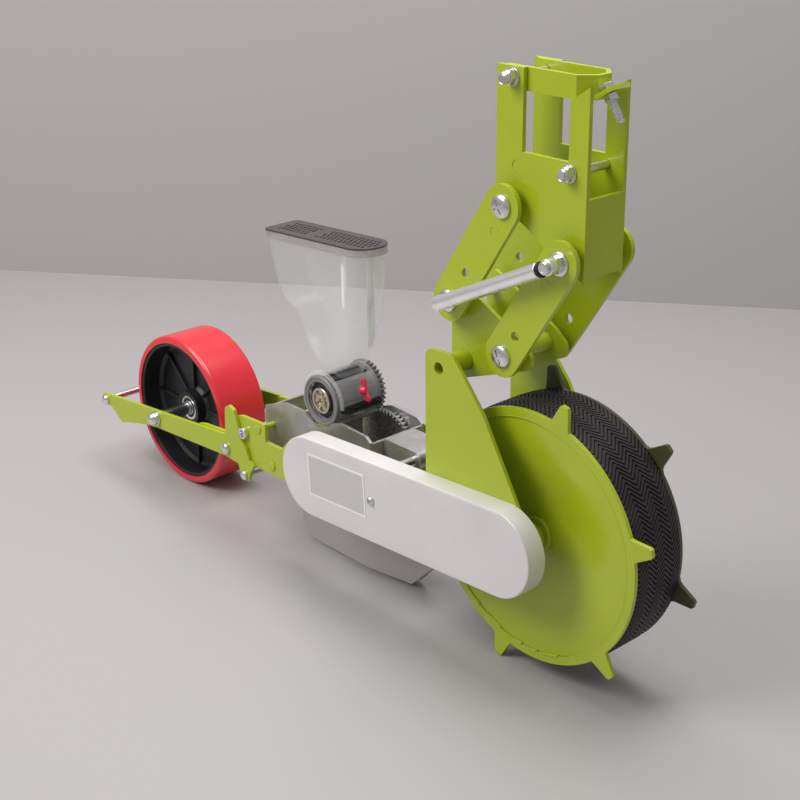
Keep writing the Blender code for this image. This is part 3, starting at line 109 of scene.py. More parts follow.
def side_name(side: int) -> str:
    """The word for a side: near for -1, far for 1."""
    return "near" if side < 0 else "far"


def in_plane(point: Point) -> Vector:
    """A point of the machine's middle plane."""
    return Vector((point[0], 0, point[1]))


def belt(p: Point, q: Point, radius: float, steps: int = 32) -> Loop:
    """The outline of a bar with round ends."""
    along = math.atan2(q[1] - p[1], q[0] - p[0])
    quarter = math.pi / 2
    return (arc(q, radius, along - quarter, along + quarter, steps)
            + arc(p, radius, along + quarter, along + 3 * quarter, steps))


def turned(points: Loop, centre: Point, angle: float) -> Loop:
    """An outline drawn round the origin, turned and then moved to a centre."""
    cos, sin = math.cos(angle), math.sin(angle)
    return [(centre[0] + u * cos - v * sin, centre[1] + u * sin + v * cos) for u, v in points]


def rectangle(u: float, v: float, half_u: float, half_v: float, angle: float = 0.0) -> Loop:
    """A rectangle round a centre, turned by an angle."""
    corners = [(-half_u, -half_v), (half_u, -half_v), (half_u, half_v), (-half_u, half_v)]
    return turned(corners, (u, v), angle)


def d_plan(rear: float, front: float, half: float, corner: float = 0.007) -> Loop:
    """A plan that is square at the rear and round at the front, with an even share of points."""
    return (arc((front - half, 0), half, -math.pi / 2, math.pi / 2, 28)
            + arc((rear + corner, half - corner), corner, math.pi / 2, math.pi, 6)
            + arc((rear + corner, corner - half), corner, math.pi, 3 * math.pi / 2, 6))


# ---------------------------------------------------------------- bench
class Bench:
    """Modelling steps, each done with the same operators as by hand."""

    @staticmethod
    def pick(*objects: bpy.types.Object) -> None:
        """Selects only these objects; the first one is active."""
        if bpy.context.mode != "OBJECT":
            bpy.ops.object.mode_set(mode="OBJECT")
        bpy.ops.object.select_all(action="DESELECT")
        for obj in objects:
            obj.select_set(True)
        if objects:
            bpy.context.view_layer.objects.active = objects[0]

    @staticmethod
    def modify(obj: bpy.types.Object, kind: str, **settings: object) -> None:
        """Adds one modifier, sets it and applies it.

        Args:
            obj: The mesh object.
            kind: The modifier's type.
            **settings: Values of the modifier's properties.
        """
        Bench.pick(obj)
        modifier = obj.modifiers.new(kind, kind)
        for key, value in settings.items():
            setattr(modifier, key, value)
        bpy.ops.object.modifier_apply(modifier=modifier.name)

    @staticmethod
    def edit(obj: bpy.types.Object, *steps: tuple[object, dict]) -> None:
        """Runs edit-mode operators on the whole mesh.

        Args:
            obj: The mesh object.
            *steps: Pairs of an operator and its settings.
        """
        Bench.pick(obj)
        bpy.ops.object.mode_set(mode="EDIT")
        bpy.ops.mesh.select_all(action="SELECT")
        for operator, settings in steps:
            operator(**settings)
        bpy.ops.object.mode_set(mode="OBJECT")

    @staticmethod
    def clean(obj: bpy.types.Object) -> None:
        """Merges doubles and turns all faces outwards."""
        Bench.edit(obj, (bpy.ops.mesh.remove_doubles, {"threshold": 1e-6}),
                   (bpy.ops.mesh.normals_make_consistent, {"inside": False}))

    @staticmethod
    def place(obj: bpy.types.Object, placing: Matrix) -> bpy.types.Object:
        """Bakes a placing, and then the frame's own place, into the mesh."""
        obj.matrix_world = FIT @ placing
        Bench.pick(obj)
        bpy.ops.object.transform_apply(location=True, rotation=True, scale=True)
        return obj

    @staticmethod
    def soften(obj: bpy.types.Object, width: float, segments: int = 2, angle: float = 30) -> None:
        """Rounds the hard edges and shades the result smooth, with flat faces kept flat."""
        if width:
            Bench.modify(obj, "BEVEL", width=width, segments=segments, limit_method="ANGLE",
                         angle_limit=math.radians(angle), use_clamp_overlap=True)
        Bench.pick(obj)
        bpy.ops.object.shade_smooth_by_angle(angle=math.radians(40))
        Bench.modify(obj, "WEIGHTED_NORMAL", keep_sharp=True, weight=50)

    @staticmethod
    def plate(name: str, loops: list[Loop], low: float, high: float, edge: float = SOFT,
              placing: Matrix = SIDEWAYS) -> bpy.types.Object:
        """A flat plate with rounded edges, made from a filled curve.

        Args:
            name: The new object's name.
            loops: The outline and the holes, in the plate's own plane.
            low: Lower face, along Y for a sideways plate and else along the placing's Z.
            high: Upper face.
            edge: Radius of the edges.
            placing: Where the plate's plane lies.

        Returns:
            The plate as a mesh object, with its place in its mesh.
        """
        Bench.pick()
        bpy.ops.curve.primitive_bezier_circle_add()
        obj = bpy.context.object
        curve = obj.data
        curve.splines.clear()
        curve.dimensions = "2D"
        curve.fill_mode = "BOTH"
        for loop in loops:
            spline = curve.splines.new("POLY")
            spline.points.add(len(loop) - 1)
            for point, (u, v) in zip(spline.points, loop):
                point.co = (u, v, 0, 1)
            spline.use_cyclic_u = True
        curve.extrude = (high - low) / 2 - edge
        curve.bevel_depth = edge
        curve.bevel_resolution = 1
        curve.offset = -edge
        Bench.pick(obj)
        bpy.ops.object.convert(target="MESH")
        obj = bpy.context.object
        obj.name = name
        Bench.clean(obj)
        middle = (low + high) / 2
        shift = (0, middle, 0) if placing is SIDEWAYS else (0, 0, 0)
        lift = Matrix.Identity(4) if placing is SIDEWAYS else Matrix.Translation((0, 0, middle))
        Bench.place(obj, Matrix.Translation(shift) @ placing @ lift)
        Bench.soften(obj, 0)
        return obj

    @staticmethod
    def lathe(name: str, profile: Loop, centre: Point = (0, 0), steps: int = 64,
              soft: float = 0.0004, placing: Matrix | None = None) -> bpy.types.Object:
        """A closed profile of (radius, height) points spun about its axis.

        Args:
            name: The new object's name.
            profile: The closed profile, with heights along Y.
            centre: The axis's place (x, z).
            steps: Facets around.
            soft: Width of the bevel on hard edges.
            placing: Another placing of the axis, instead of one along Y.

        Returns:
            The turned piece, with its place in its mesh.
        """
        Bench.pick()
        bpy.ops.mesh.primitive_circle_add(vertices=len(profile), fill_type="NOTHING")
        obj = bpy.context.object
        obj.name = name
        for vertex, (radius, height) in zip(obj.data.vertices, profile):
            vertex.co = (radius, 0, height)
        Bench.modify(obj, "SCREW", steps=steps, render_steps=steps, axis="Z", use_merge_vertices=True,
                     merge_threshold=1e-5)
        Bench.clean(obj)
        if placing is None:
            placing = Matrix.Translation((centre[0], 0, centre[1])) @ ACROSS
        Bench.place(obj, placing)
        Bench.soften(obj, soft)
        return obj

    @staticmethod
    def block(name: str, middle: Vector | tuple, size: tuple[float, float, float], soft: float,
              turn: Matrix | None = None) -> bpy.types.Object:
        """A block with rounded edges, at its size and place."""
        Bench.pick()
        bpy.ops.mesh.primitive_cube_add(size=1)
        obj = bpy.context.object
        obj.name = name
        scale = Matrix.Diagonal((*size, 1))
        Bench.place(obj, Matrix.Translation(middle) @ (turn or Matrix.Identity(4)) @ scale)
        Bench.soften(obj, soft, 3)
        return obj

    @staticmethod
    def tube(name: str, points: list[tuple[float, float, float]], radius: float,
             sides: int = 8) -> bpy.types.Object:
        """A round bead or wire along points, with closed ends."""
        Bench.pick()
        bpy.ops.curve.primitive_bezier_circle_add()
        obj = bpy.context.object
        obj.data.splines.clear()
        obj.data.dimensions = "3D"
        spline = obj.data.splines.new("POLY")
        spline.points.add(len(points) - 1)
        for point, co in zip(spline.points, points):
            point.co = (*co, 1)
        obj.data.bevel_depth = radius
        obj.data.bevel_resolution = sides // 4
        obj.data.use_fill_caps = True
        Bench.pick(obj)
        bpy.ops.object.convert(target="MESH")
        obj = bpy.context.object
        obj.name = name
        Bench.clean(obj)
        Bench.place(obj, Matrix.Identity(4))
        Bench.soften(obj, 0)
        return obj

    @staticmethod
    def loft(name: str, rings: list[list[tuple[float, float, float]]], closed: bool,
             placing: Matrix = Matrix.Identity(4)) -> bpy.types.Object:
        """A skin over rings of as many points each, from a grid whose seam is then closed."""
        Bench.pick()
        around, along = len(rings[0]), len(rings)
        wrap = 1 if closed else 0
        bpy.ops.mesh.primitive_grid_add(x_subdivisions=around - 1 + wrap, y_subdivisions=along - 1)
        obj = bpy.context.object
        obj.name = name
        columns = around + wrap
        for index, vertex in enumerate(obj.data.vertices):
            vertex.co = rings[index // columns][index % columns % around]
        Bench.clean(obj)
        Bench.place(obj, placing)
        return obj

    @staticmethod
    def cut(obj: bpy.types.Object, tool: bpy.types.Object, operation: str = "DIFFERENCE") -> None:
        """Combines an object with a tool solid, which is then removed."""
        Bench.modify(obj, "BOOLEAN", operation=operation, solver="EXACT", object=tool)
        bpy.data.objects.remove(tool)

    @staticmethod
    def repeat(obj: bpy.types.Object, count: int, centre: Point) -> list[bpy.types.Object]:
        """The object and its copies, evenly turned about an axis along Y."""
        hub = Matrix.Translation((AXLE.x + centre[0], 0, centre[1]))
        made = [obj]
        for i in range(1, count):
            twin = obj.copy()
            twin.data = obj.data.copy()
            bpy.context.scene.collection.objects.link(twin)
            twin.data.transform(hub @ Matrix.Rotation(i * math.tau / count, 4, "Y") @ hub.inverted())
            made.append(twin)
        return made

    @staticmethod
    def join(name: str, objects: list[bpy.types.Object]) -> bpy.types.Object:
        """One object from several."""
        Bench.pick(*objects)
        if len(objects) > 1:
            bpy.ops.object.join()
        joined = bpy.context.view_layer.objects.active
        joined.name = name
        return joined

    @staticmethod
    def refined(node: str, name: str, soft: float, segments: int = 2) -> bpy.types.Object:
        """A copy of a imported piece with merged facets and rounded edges."""
        source = frame["nodes"][node]
        obj = source.copy()
        obj.data = source.data.copy()
        obj.parent = None
        obj.name = name
        for key in list(obj.keys()):
            del obj[key]
        bpy.context.scene.collection.objects.link(obj)
        Bench.pick(obj)
        if obj.data.has_custom_normals:
            bpy.ops.mesh.customdata_custom_splitnormals_clear()
        Bench.edit(obj, (bpy.ops.mesh.remove_doubles, {"threshold": 1e-5}),
                   (bpy.ops.mesh.dissolve_limited, {"angle_limit": math.radians(0.5)}))
        Bench.soften(obj, soft, segments)
        return obj


# ---------------------------------------------------------------- shader graph
class Value:
    """A number socket; arithmetic on it adds Math nodes."""

    def __init__(self, graph: "Graph", socket: bpy.types.NodeSocket) -> None:
        """Wraps one output socket."""
        self.graph = graph
        self.socket = socket

    def _math(self, operation: str, *terms: object) -> "Value":
        """Adds one Math node on these terms."""
        made = self.graph.node("ShaderNodeMath", {"operation": operation}, dict(enumerate(terms)))
        return made("Value")

    def __add__(self, other: object) -> "Value":
        """Sum."""
        return self._math("ADD", self, other)

    def __sub__(self, other: object) -> "Value":
        """Difference."""
        return self._math("SUBTRACT", self, other)

    def __rsub__(self, other: object) -> "Value":
        """Difference with the value on the right."""
        return self._math("SUBTRACT", other, self)

    def __mul__(self, other: object) -> "Value":
        """Product."""
        return self._math("MULTIPLY", self, other)

    def __pow__(self, other: object) -> "Value":
        """Power."""
        return self._math("POWER", self, other)

    def size(self) -> "Value":
        """Its value without the sign."""
        return self._math("ABSOLUTE", self)

    def between(self, low: float, high: float) -> "Value":
        """0 below low, 1 above high, smooth between."""
        settings = {"interpolation_type": "SMOOTHSTEP"}
        return self.graph.node("ShaderNodeMapRange", settings, {0: self, 1: low, 2: high})("Result")

    __radd__ = __add__
    __rmul__ = __mul__


class Graph:
    """The node tree of one material."""

    def __init__(self, material: bpy.types.Material) -> None:
        """Starts an empty tree."""
        material.use_nodes = True
        self.tree = material.node_tree
        self.tree.nodes.clear()
        self.place = self.node("ShaderNodeTexCoord")("Object")

    def node(self, kind: str, settings: dict | None = None, inputs: dict | None = None) -> object:
        """Adds a node.

        Args:
            kind: The node's type.
            settings: Properties that are set first; "stops" are a ramp's (place, colour) pairs.
            inputs: Values or links of its sockets, by name or number.

        Returns:
            A function from an output's name to its value.
        """
        made = self.tree.nodes.new(kind)
        for key, value in (settings or {}).items():
            if key == "stops":
                elements = made.color_ramp.elements
                while len(elements) < len(value):
                    elements.new(0.5)
                for element, (position, colour) in zip(elements, value):
                    element.position = position
                    element.color = (*colour, 1)
            else:
                setattr(made, key, value)
        for key, value in (inputs or {}).items():
            socket = made.inputs[key]
            if isinstance(value, Value):
                self.tree.links.new(value.socket, socket)
            else:
                socket.default_value = value
        return lambda name: Value(self, made.outputs[name])

    def mapped(self, scale: tuple[float, float, float]) -> Value:
        """The piece's own coordinates, stretched."""
        return self.node("ShaderNodeMapping", {"vector_type": "POINT"},
                         {"Vector": self.place, "Scale": scale})("Vector")

    def noise(self, scale: float, detail: float = 2.0, rough: float = 0.5,
              place: Value | None = None) -> Value:
        """Cloudy noise from 0 to 1."""
        inputs = {"Vector": place or self.place, "Scale": scale, "Detail": detail, "Roughness": rough}
        return self.node("ShaderNodeTexNoise", {"noise_dimensions": "3D"}, inputs)("Fac")

    def blend(self, share: Value | float, first: object, second: object) -> Value:
        """A mix of two colours."""
        inputs = {0: share, 6: self.colour(first), 7: self.colour(second)}
        return self.node("ShaderNodeMix", {"data_type": "RGBA"}, inputs)(2)

    @staticmethod
    def colour(value: object) -> object:
        """A colour with its alpha, or a link as it is."""
        return value if isinstance(value, Value) else (*value, 1)

    def bump(self, height: Value, distance: float, strength: float = 1.0) -> Value:
        """A normal from a height."""
        inputs = {"Strength": strength, "Distance": distance, "Height": height}
        return self.node("ShaderNodeBump", None, inputs)("Normal")

    def surface(self, sockets: dict) -> None:
        """Ends the tree in a Principled shader."""
        shader = self.node("ShaderNodeBsdfPrincipled", None, sockets)("BSDF")
        self.node("ShaderNodeOutputMaterial", None, {"Surface": shader})


@dataclass(frozen=True)
class Finish:
    """A finish of the record's material slot; its nodes are laid at its first use."""

    slot: str
    label: str

    def material(self) -> bpy.types.Material:
        """The finish's material."""
        if self.label not in bpy.data.materials:
            made = bpy.data.materials.new(self.label)
            self.lay(Graph(made))
        return bpy.data.materials[self.label]

    def lay(self, graph: Graph) -> None:
        """Lays the finish's nodes."""
        raise NotImplementedError


@dataclass(frozen=True)
class Paint(Finish):
    """Sprayed paint: soft orange peel, thin clouds of tone and a little dust."""

    colour: tuple[float, float, float] = (0.4, 0.47, 0.03)
    gloss: float = 0.3
    flake: float = 0.0

    def lay(self, graph: Graph) -> None:
        """Lays the finish's nodes."""
        cloud = graph.noise(14, 3)
        dust = graph.noise(95, 4, 0.65).between(0.55, 0.8)
        tone = graph.blend(cloud, tuple(c * 0.9 for c in self.colour), tuple(c * 1.08 for c in self.colour))
        pale = tuple(0.75 * c + 0.12 for c in self.colour)
        tone = graph.blend(dust * 0.10, tone, pale)
        rough = cloud * 0.1 + dust * 0.12 + self.gloss
        peel = graph.noise(420, 2)
        grain = graph.noise(2600, 1)
        normal = graph.bump(peel + grain * 0.35, 0.00012, 0.5)
        graph.surface({"Base Color": tone, "Roughness": rough, "Metallic": self.flake, "Normal": normal,
                       "Coat Weight": 0.25, "Coat Roughness": 0.12})


@dataclass(frozen=True)
class Metal(Finish):
    """Bare or plated metal with fine tool marks and uneven brightness."""

    colour: tuple[float, float, float] = (0.7, 0.7, 0.69)
    tint: tuple[float, float, float] = (0.6, 0.6, 0.62)
    gloss: float = 0.22
    marks: tuple[float, float, float] = (1, 1, 1)
    depth: float = 0.000015

    def lay(self, graph: Graph) -> None:
        """Lays the finish's nodes."""
        cloud = graph.noise(60, 3)
        marks = graph.noise(700, 2, 0.6, graph.mapped(self.marks))
        tone = graph.blend(cloud.between(0.35, 0.7), self.colour, self.tint)
        rough = marks * 0.16 + cloud * 0.1 + (self.gloss - 0.1)
        graph.surface({"Base Color": tone, "Roughness": rough, "Metallic": 1.0,
                       "Normal": graph.bump(marks, self.depth, 0.6)})


@dataclass(frozen=True)
class CastMetal(Finish):
    """Sand-cast alloy: pitted grain, brighter where it was rubbed."""

    colour: tuple[float, float, float] = (0.55, 0.54, 0.53)

    def lay(self, graph: Graph) -> None:
        """Lays the finish's nodes."""
        grain = graph.noise(900, 4, 0.7)
        cloud = graph.noise(45, 3)
        pits = graph.node("ShaderNodeTexVoronoi", {"feature": "F1"}, {"Vector": graph.place, "Scale": 500})
        tone = graph.blend(cloud.between(0.3, 0.75), tuple(c * 0.78 for c in self.colour), self.colour)
        height = grain + pits("Distance") * 0.5
        graph.surface({"Base Color": tone, "Roughness": grain * 0.2 + 0.32, "Metallic": 0.75,
                       "Normal": graph.bump(height, 0.00025, 0.55)})


@dataclass(frozen=True)
class Rubber(Finish):
    """Moulded rubber, dusty in its grain."""

    colour: tuple[float, float, float] = (0.016, 0.013, 0.013)

    def lay(self, graph: Graph) -> None:
        """Lays the finish's nodes."""
        grain = graph.noise(1500, 3, 0.7)
        dust = graph.noise(30, 4, 0.6).between(0.35, 0.8)
        tone = graph.blend(dust * 0.35, self.colour, (0.075, 0.066, 0.062))
        graph.surface({"Base Color": tone, "Roughness": dust * 0.2 + 0.5,
                       "Normal": graph.bump(grain, 0.0001, 0.5)})


@dataclass(frozen=True)
class Moulded(Finish):
    """Solid moulded plastic or polyurethane."""

    colour: tuple[float, float, float] = (0.02, 0.02, 0.02)
    gloss: float = 0.35
    coat: float = 0.0
    depth: float = 0.0001

    def lay(self, graph: Graph) -> None:
        """Lays the finish's nodes."""
        cloud = graph.noise(18, 3)
        scuffs = graph.noise(260, 4, 0.7, graph.mapped((1, 0.15, 1)))
        tone = graph.blend(cloud, tuple(c * 0.88 for c in self.colour),
                           tuple(min(1.0, c * 1.1) for c in self.colour))
        graph.surface({"Base Color": tone, "Roughness": scuffs * 0.12 + cloud * 0.08 + (self.gloss - 0.1),
                       "Coat Weight": self.coat, "Coat Roughness": 0.15,
                       "Normal": graph.bump(scuffs, self.depth, 0.4)})


@dataclass(frozen=True)
class ClearMoulded(Finish):
    """See-through plastic that whitens where it is seen edge-on."""

    colour: tuple[float, float, float] = (0.9, 0.9, 0.9)
    body: float = 0.1
    rim: float = 0.55
    gloss: float = 0.06
    coat: float = 1.0

    def painted_reflection_cover(self, graph: Graph) -> Value | float:
        """Painted reflection cover that is added here and there; none on plain clear plastic."""
        return 0.0

    def lay(self, graph: Graph) -> None:
        """Lays the finish's nodes."""
        facing = graph.node("ShaderNodeLayerWeight", None, {"Blend": 0.35})("Facing")
        smear = graph.noise(35, 3).between(0.4, 0.8)
        # Any added cover from a subclass is painted reflection.
        alpha = facing ** 2.2 * self.rim + smear * 0.04 + self.body + self.painted_reflection_cover(graph)
        tone = graph.blend(smear, self.colour, tuple(c * 0.93 for c in self.colour))
        ripple = graph.noise(70, 2)
        graph.surface({"Base Color": tone, "Roughness": smear * 0.05 + self.gloss, "Alpha": alpha,
                       "Coat Weight": self.coat, "Coat Roughness": 0.04, "Coat IOR": 1.8, "IOR": 1.6,
                       "Normal": graph.bump(ripple, 0.0006, 0.4)})


@dataclass(frozen=True)
class PaintedReflectionMoulded(ClearMoulded):
    """Clear plastic with pale upright streaks on its near wall that are painted reflections, laid into its
    alpha.
    """

    # Pale upright bands laid into the alpha as painted reflections.
    painted_reflection_streaks: tuple[tuple[float, float, float, float, float], ...] = (
        (-0.2396, 0.0026, 0.347, 0.412, 0.50), (-0.2056, 0.0062, 0.292, 0.424, 0.55),
        (-0.2823, 0.0150, 0.244, 0.303, 0.16))
    heading: float = math.radians(48)

    def painted_reflection_cover(self, graph: Graph) -> Value | float:
        """The added cover of the painted reflection streaks, each (middle x, half width, foot, top,
        strength).
        """
        parts = graph.node("ShaderNodeSeparateXYZ", None, {0: graph.place})
        total: Value | float = 0.0
        cos, sin = math.cos(self.heading), math.sin(self.heading)
        along = (parts("X") - AXLE.x) * cos + (parts("Y") - AXLE.y) * sin
        soft = 0.010
        for middle, half, foot, top, strength in self.painted_reflection_streaks:
            across = 1 - (along - middle).size().between(half * 0.35, half)
            height = parts("Z").between(foot, foot + soft) * (1 - parts("Z").between(top - soft, top))
            total = across * height * strength + total
        return total


class Finishes(enum.Enum):
    """Every finish of the unit."""

    LIME = Paint("lime_paint", "lime_paint_sprayed", (0.40, 0.49, 0.012), 0.27)
    SILVER = Paint("silver_paint", "silver_paint_sprayed", (0.72, 0.69, 0.685), 0.34, 0.1)
    SHEET = Paint("silver_paint", "shoe_sheet_finish", (0.46, 0.43, 0.43), 0.34, 0.35)
    ZINC = Metal("zinc", "zinc_plate", (0.78, 0.78, 0.76), (0.68, 0.68, 0.70), 0.22)
    STEEL = Metal("bright_steel", "turned_steel", (0.66, 0.66, 0.67), (0.56, 0.57, 0.58), 0.24, (1, 6, 1))
    CHROME = Metal("bright_steel", "polished_tube", (0.93, 0.93, 0.93), (0.88, 0.88, 0.89), 0.3, (6, 1, 6))
    CAST = CastMetal("cast_alloy", "cast_alloy_grain", (0.55, 0.53, 0.52))
    RUBBER = Rubber("black_rubber", "tread_rubber")
    RED = Moulded("red_polyurethane", "red_polyurethane_cast", (0.70, 0.016, 0.030), 0.30, 0.5)
    BLACK = Moulded("black_plastic", "black_plastic_moulded", (0.012, 0.011, 0.014), 0.42)
    GREY = Moulded("grey_plastic", "grey_plastic_moulded", (0.22, 0.21, 0.20), 0.38)
    WING = Moulded("red_plastic", "red_plastic_moulded", (0.78, 0.02, 0.07), 0.28, 0.6)
    HOUSING = ClearMoulded("clear_plastic", "housing_plastic_clear", (0.86, 0.86, 0.85), 0.15, 0.6)
    SMOKE = ClearMoulded("smoked_plastic", "smoked_plastic_moulded", (0.045, 0.034, 0.038), 0.76, 0.2, 0.12,
                         0.15)
    SKIRT = ClearMoulded("smoked_plastic", "lid_skirt_plastic", (0.42, 0.38, 0.38), 0.42, 0.4, 0.1)
    HUB = Metal("bright_steel", "hub_metal_warm", (0.60, 0.55, 0.42), (0.50, 0.47, 0.38), 0.28)
    CHAIN = Metal("bright_steel", "oiled_chain_steel", (0.30, 0.29, 0.28), (0.18, 0.17, 0.16), 0.3)
    # Much darker lime, used only on the far lugged ring.
    SOILED = Paint("lime_paint", "lime_paint_far_darkened", (0.06, 0.062, 0.022), 0.45)
    PLATE = Moulded("silver_paint", "label_foil", (0.57, 0.545, 0.54), 0.3, 0.4)
    BORDER = Moulded("silver_paint", "label_border", (0.86, 0.84, 0.84), 0.35, 0.2)
    PAINTED = Paint("zinc", "painted_over_bolt", (0.39, 0.475, 0.014), 0.3)
    NYLON = Moulded("black_plastic", "grey_gear_nylon", (0.20, 0.195, 0.19), 0.40)
    # The hopper's pale upright streaks are painted reflections.
    HOPPER = PaintedReflectionMoulded("clear_plastic", "hopper_plastic_painted_reflections", (0.95, 0.95, 0.96), 0.045, 0.55)


def hand_over(piece: bpy.types.Object, body: str, finish: Finishes, *stands_for: str) -> bpy.types.Object:
    """Dresses a finished piece and gives it to its body.

    Args:
        piece: The mesh object, with its place in its mesh.
        body: The body it moves with.
        finish: What it is covered with.
        *stands_for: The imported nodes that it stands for.

    Returns:
        The same piece.
    """
    piece.data.materials.clear()
    piece.data.materials.append(finish.value.material())
    for polygon in piece.data.polygons:
        polygon.material_index = 0
    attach(piece, body)
    if stands_for:
        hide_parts(*stands_for)
    LOG.info("%s: %d faces on %s", piece.name, len(piece.data.polygons), body)
    return piece


def dress_node(node: str, finish: Finishes) -> None:
    """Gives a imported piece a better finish."""
    obj = frame["nodes"][node]
    for slot in obj.material_slots:
        slot.material = finish.value.material()


# ---------------------------------------------------------------- fasteners
class Head(enum.Enum):
    """The kinds of end that a bolt has."""

    DOME = "dome"
    CROSS = "cross"
    SOCKET = "socket"
    NUT = "nut"
    CAPPED = "capped"


@dataclass
class Bolt:
    """A bolt along Y: an end on the near side, a shank, and a nut with the thread's end on the far side."""

    name: str
    body: str
    centre: Point
    shank: float
    grip: float
    near: Head
    head_size: float
    head_height: float
    nut_size: float = 0.013
    nut_height: float = 0.007
    finish: Finishes = Finishes.ZINC
    washer_share: float = 1.28
    washer: float = 0.0012
    chamfer: float = 0.0012
    pitch: float = 0.0013
    facets: int = 48

    def out(self, side: int, distance: float) -> float:
        """A height above the seat of one side, along Y."""
        return side * (self.grip + distance)

    def ends(self, side: int, kind: Head, size: float, height: float) -> list[bpy.types.Object]:
        """The pieces at one end.

        Args:
            side: -1 for the near end and 1 for the far end.
            kind: The end's kind.
            size: Its width, across the flats if it has any.
            height: How far it stands out.

        Returns:
            The end's solids.
        """
        radius = size / 2
        if kind in (Head.NUT, Head.CAPPED):
            return self.nut(side, radius, height, kind is Head.CAPPED)
        if kind is Head.SOCKET:
            return [self.socket(side, radius, height)]
        return [self.dome(side, radius, height, kind is Head.CROSS)]

    def nut(self, side: int, radius: float, height: float, capped: bool) -> list[bpy.types.Object]:
        """A chamfered nut on its washer.

        Args:
            side: -1 for the near end and 1 for the far end.
            radius: Half its width across the flats.
            height: How far it stands out.
            capped: Whether a locking collar and the thread's end stand out of it.

        Returns:
            The nut's solids.
        """
        top = height * (0.62 if capped else 1.0)
        seat, low, high = self.out(side, 0), self.out(side, self.washer), self.out(side, top)
        six = Bench.plate("flats", [hexagon(self.centre, 2 * radius)], *sorted((low, high)), edge=FINE)
        wide, narrow = radius * 1.16, radius * 0.95
        cone = [(0, low), (wide, low), (wide, self.out(side, top - self.chamfer)), (narrow, high), (0, high)]
        Bench.cut(six, Bench.lathe("chamfer", cone, self.centre, self.facets, 0), "INTERSECT")
        Bench.soften(six, FINE, 1)
        rim = radius * self.washer_share
        ring = [(self.shank, seat), (rim, seat), (rim, low), (self.shank, low)]
        made = [six, Bench.lathe("washer", ring, self.centre, self.facets, EDGE)]
        if capped:
            lip, bore = radius * 0.9, self.shank * 0.95
            collar = [(bore, high), (lip, high), (lip, self.out(side, height * 0.82)),
                      (lip * 0.86, self.out(side, height * 0.95)), (bore, self.out(side, height * 0.9))]
            made.append(Bench.lathe("collar", collar, self.centre, self.facets, EDGE))
            made.append(self.thread(high, self.out(side, height)))
        return made

    def socket(self, side: int, radius: float, height: float) -> bpy.types.Object:
        """A round head with a deep well for a key."""
        well, floor = radius * 0.52, height * 0.35
        profile = [(0, self.out(side, 0)), (radius, self.out(side, 0)), (radius, self.out(side, height)),
                   (well, self.out(side, height)), (well, self.out(side, floor)), (0, self.out(side, floor))]
        return Bench.lathe("socket", profile, self.centre, self.facets, SOFT)

    def dome(self, side: int, radius: float, height: float, crossed: bool) -> bpy.types.Object:
        """A domed head, with a cross recess if it is crossed."""
        steps, brim = 7, 0.3
        turns = [i * math.pi / 2 / steps for i in range(steps)]
        rise = [(radius * math.cos(t), self.out(side,
                                                height * (brim + (1 - brim) * math.sin(t)))) for t in turns]
        profile = [(0, self.out(side, 0)), (radius, self.out(side, 0)), *rise, (0, self.out(side, height))]
        dome = Bench.lathe("dome", profile, self.centre, self.facets, 0)
        if crossed:
            depth = sorted((self.out(side, height * 0.55), self.out(side, height + 0.002)))
            for turn in (0.5, 0.5 + math.pi / 2):
                slot = rectangle(*self.centre, radius * 0.62, radius * 0.09, turn)
                Bench.cut(dome, Bench.plate("slot", [slot], *depth, edge=HAIR))
            Bench.soften(dome, FINE, 1)
        return dome

    def thread(self, start: float, end: float) -> bpy.types.Object:
        """A threaded stretch of the shank, with a chamfered end."""
        crest, root = self.shank, self.shank * 0.87
        step = math.copysign(self.pitch, end - start)
        turns = max(1, int(abs(end - start) / self.pitch) - 1)
        profile = [(0, start), (crest, start)]
        for i in range(turns):
            profile += [(root, start + (i + 0.5) * step), (crest, start + (i + 1) * step)]
        profile += [(root, end), (0, end)]
        return Bench.lathe("thread", profile, self.centre, 24, 0)

    def build(self) -> None:
        """Models the whole bolt and hands it over."""
        far = self.grip + self.nut_height
        pieces = self.ends(-1, self.near, self.head_size, self.head_height)
        pieces += self.ends(1, Head.NUT, self.nut_size, self.nut_height)
        pieces.append(Bench.lathe("shank", rod(self.shank, -self.grip, far), self.centre, 32, 0))
        pieces.append(self.thread(far, far + self.shank * 0.5 + 0.001))
        bolt = Bench.join(f"{self.name}_detailed", pieces)
        hand_over(bolt, self.body, self.finish, self.name)


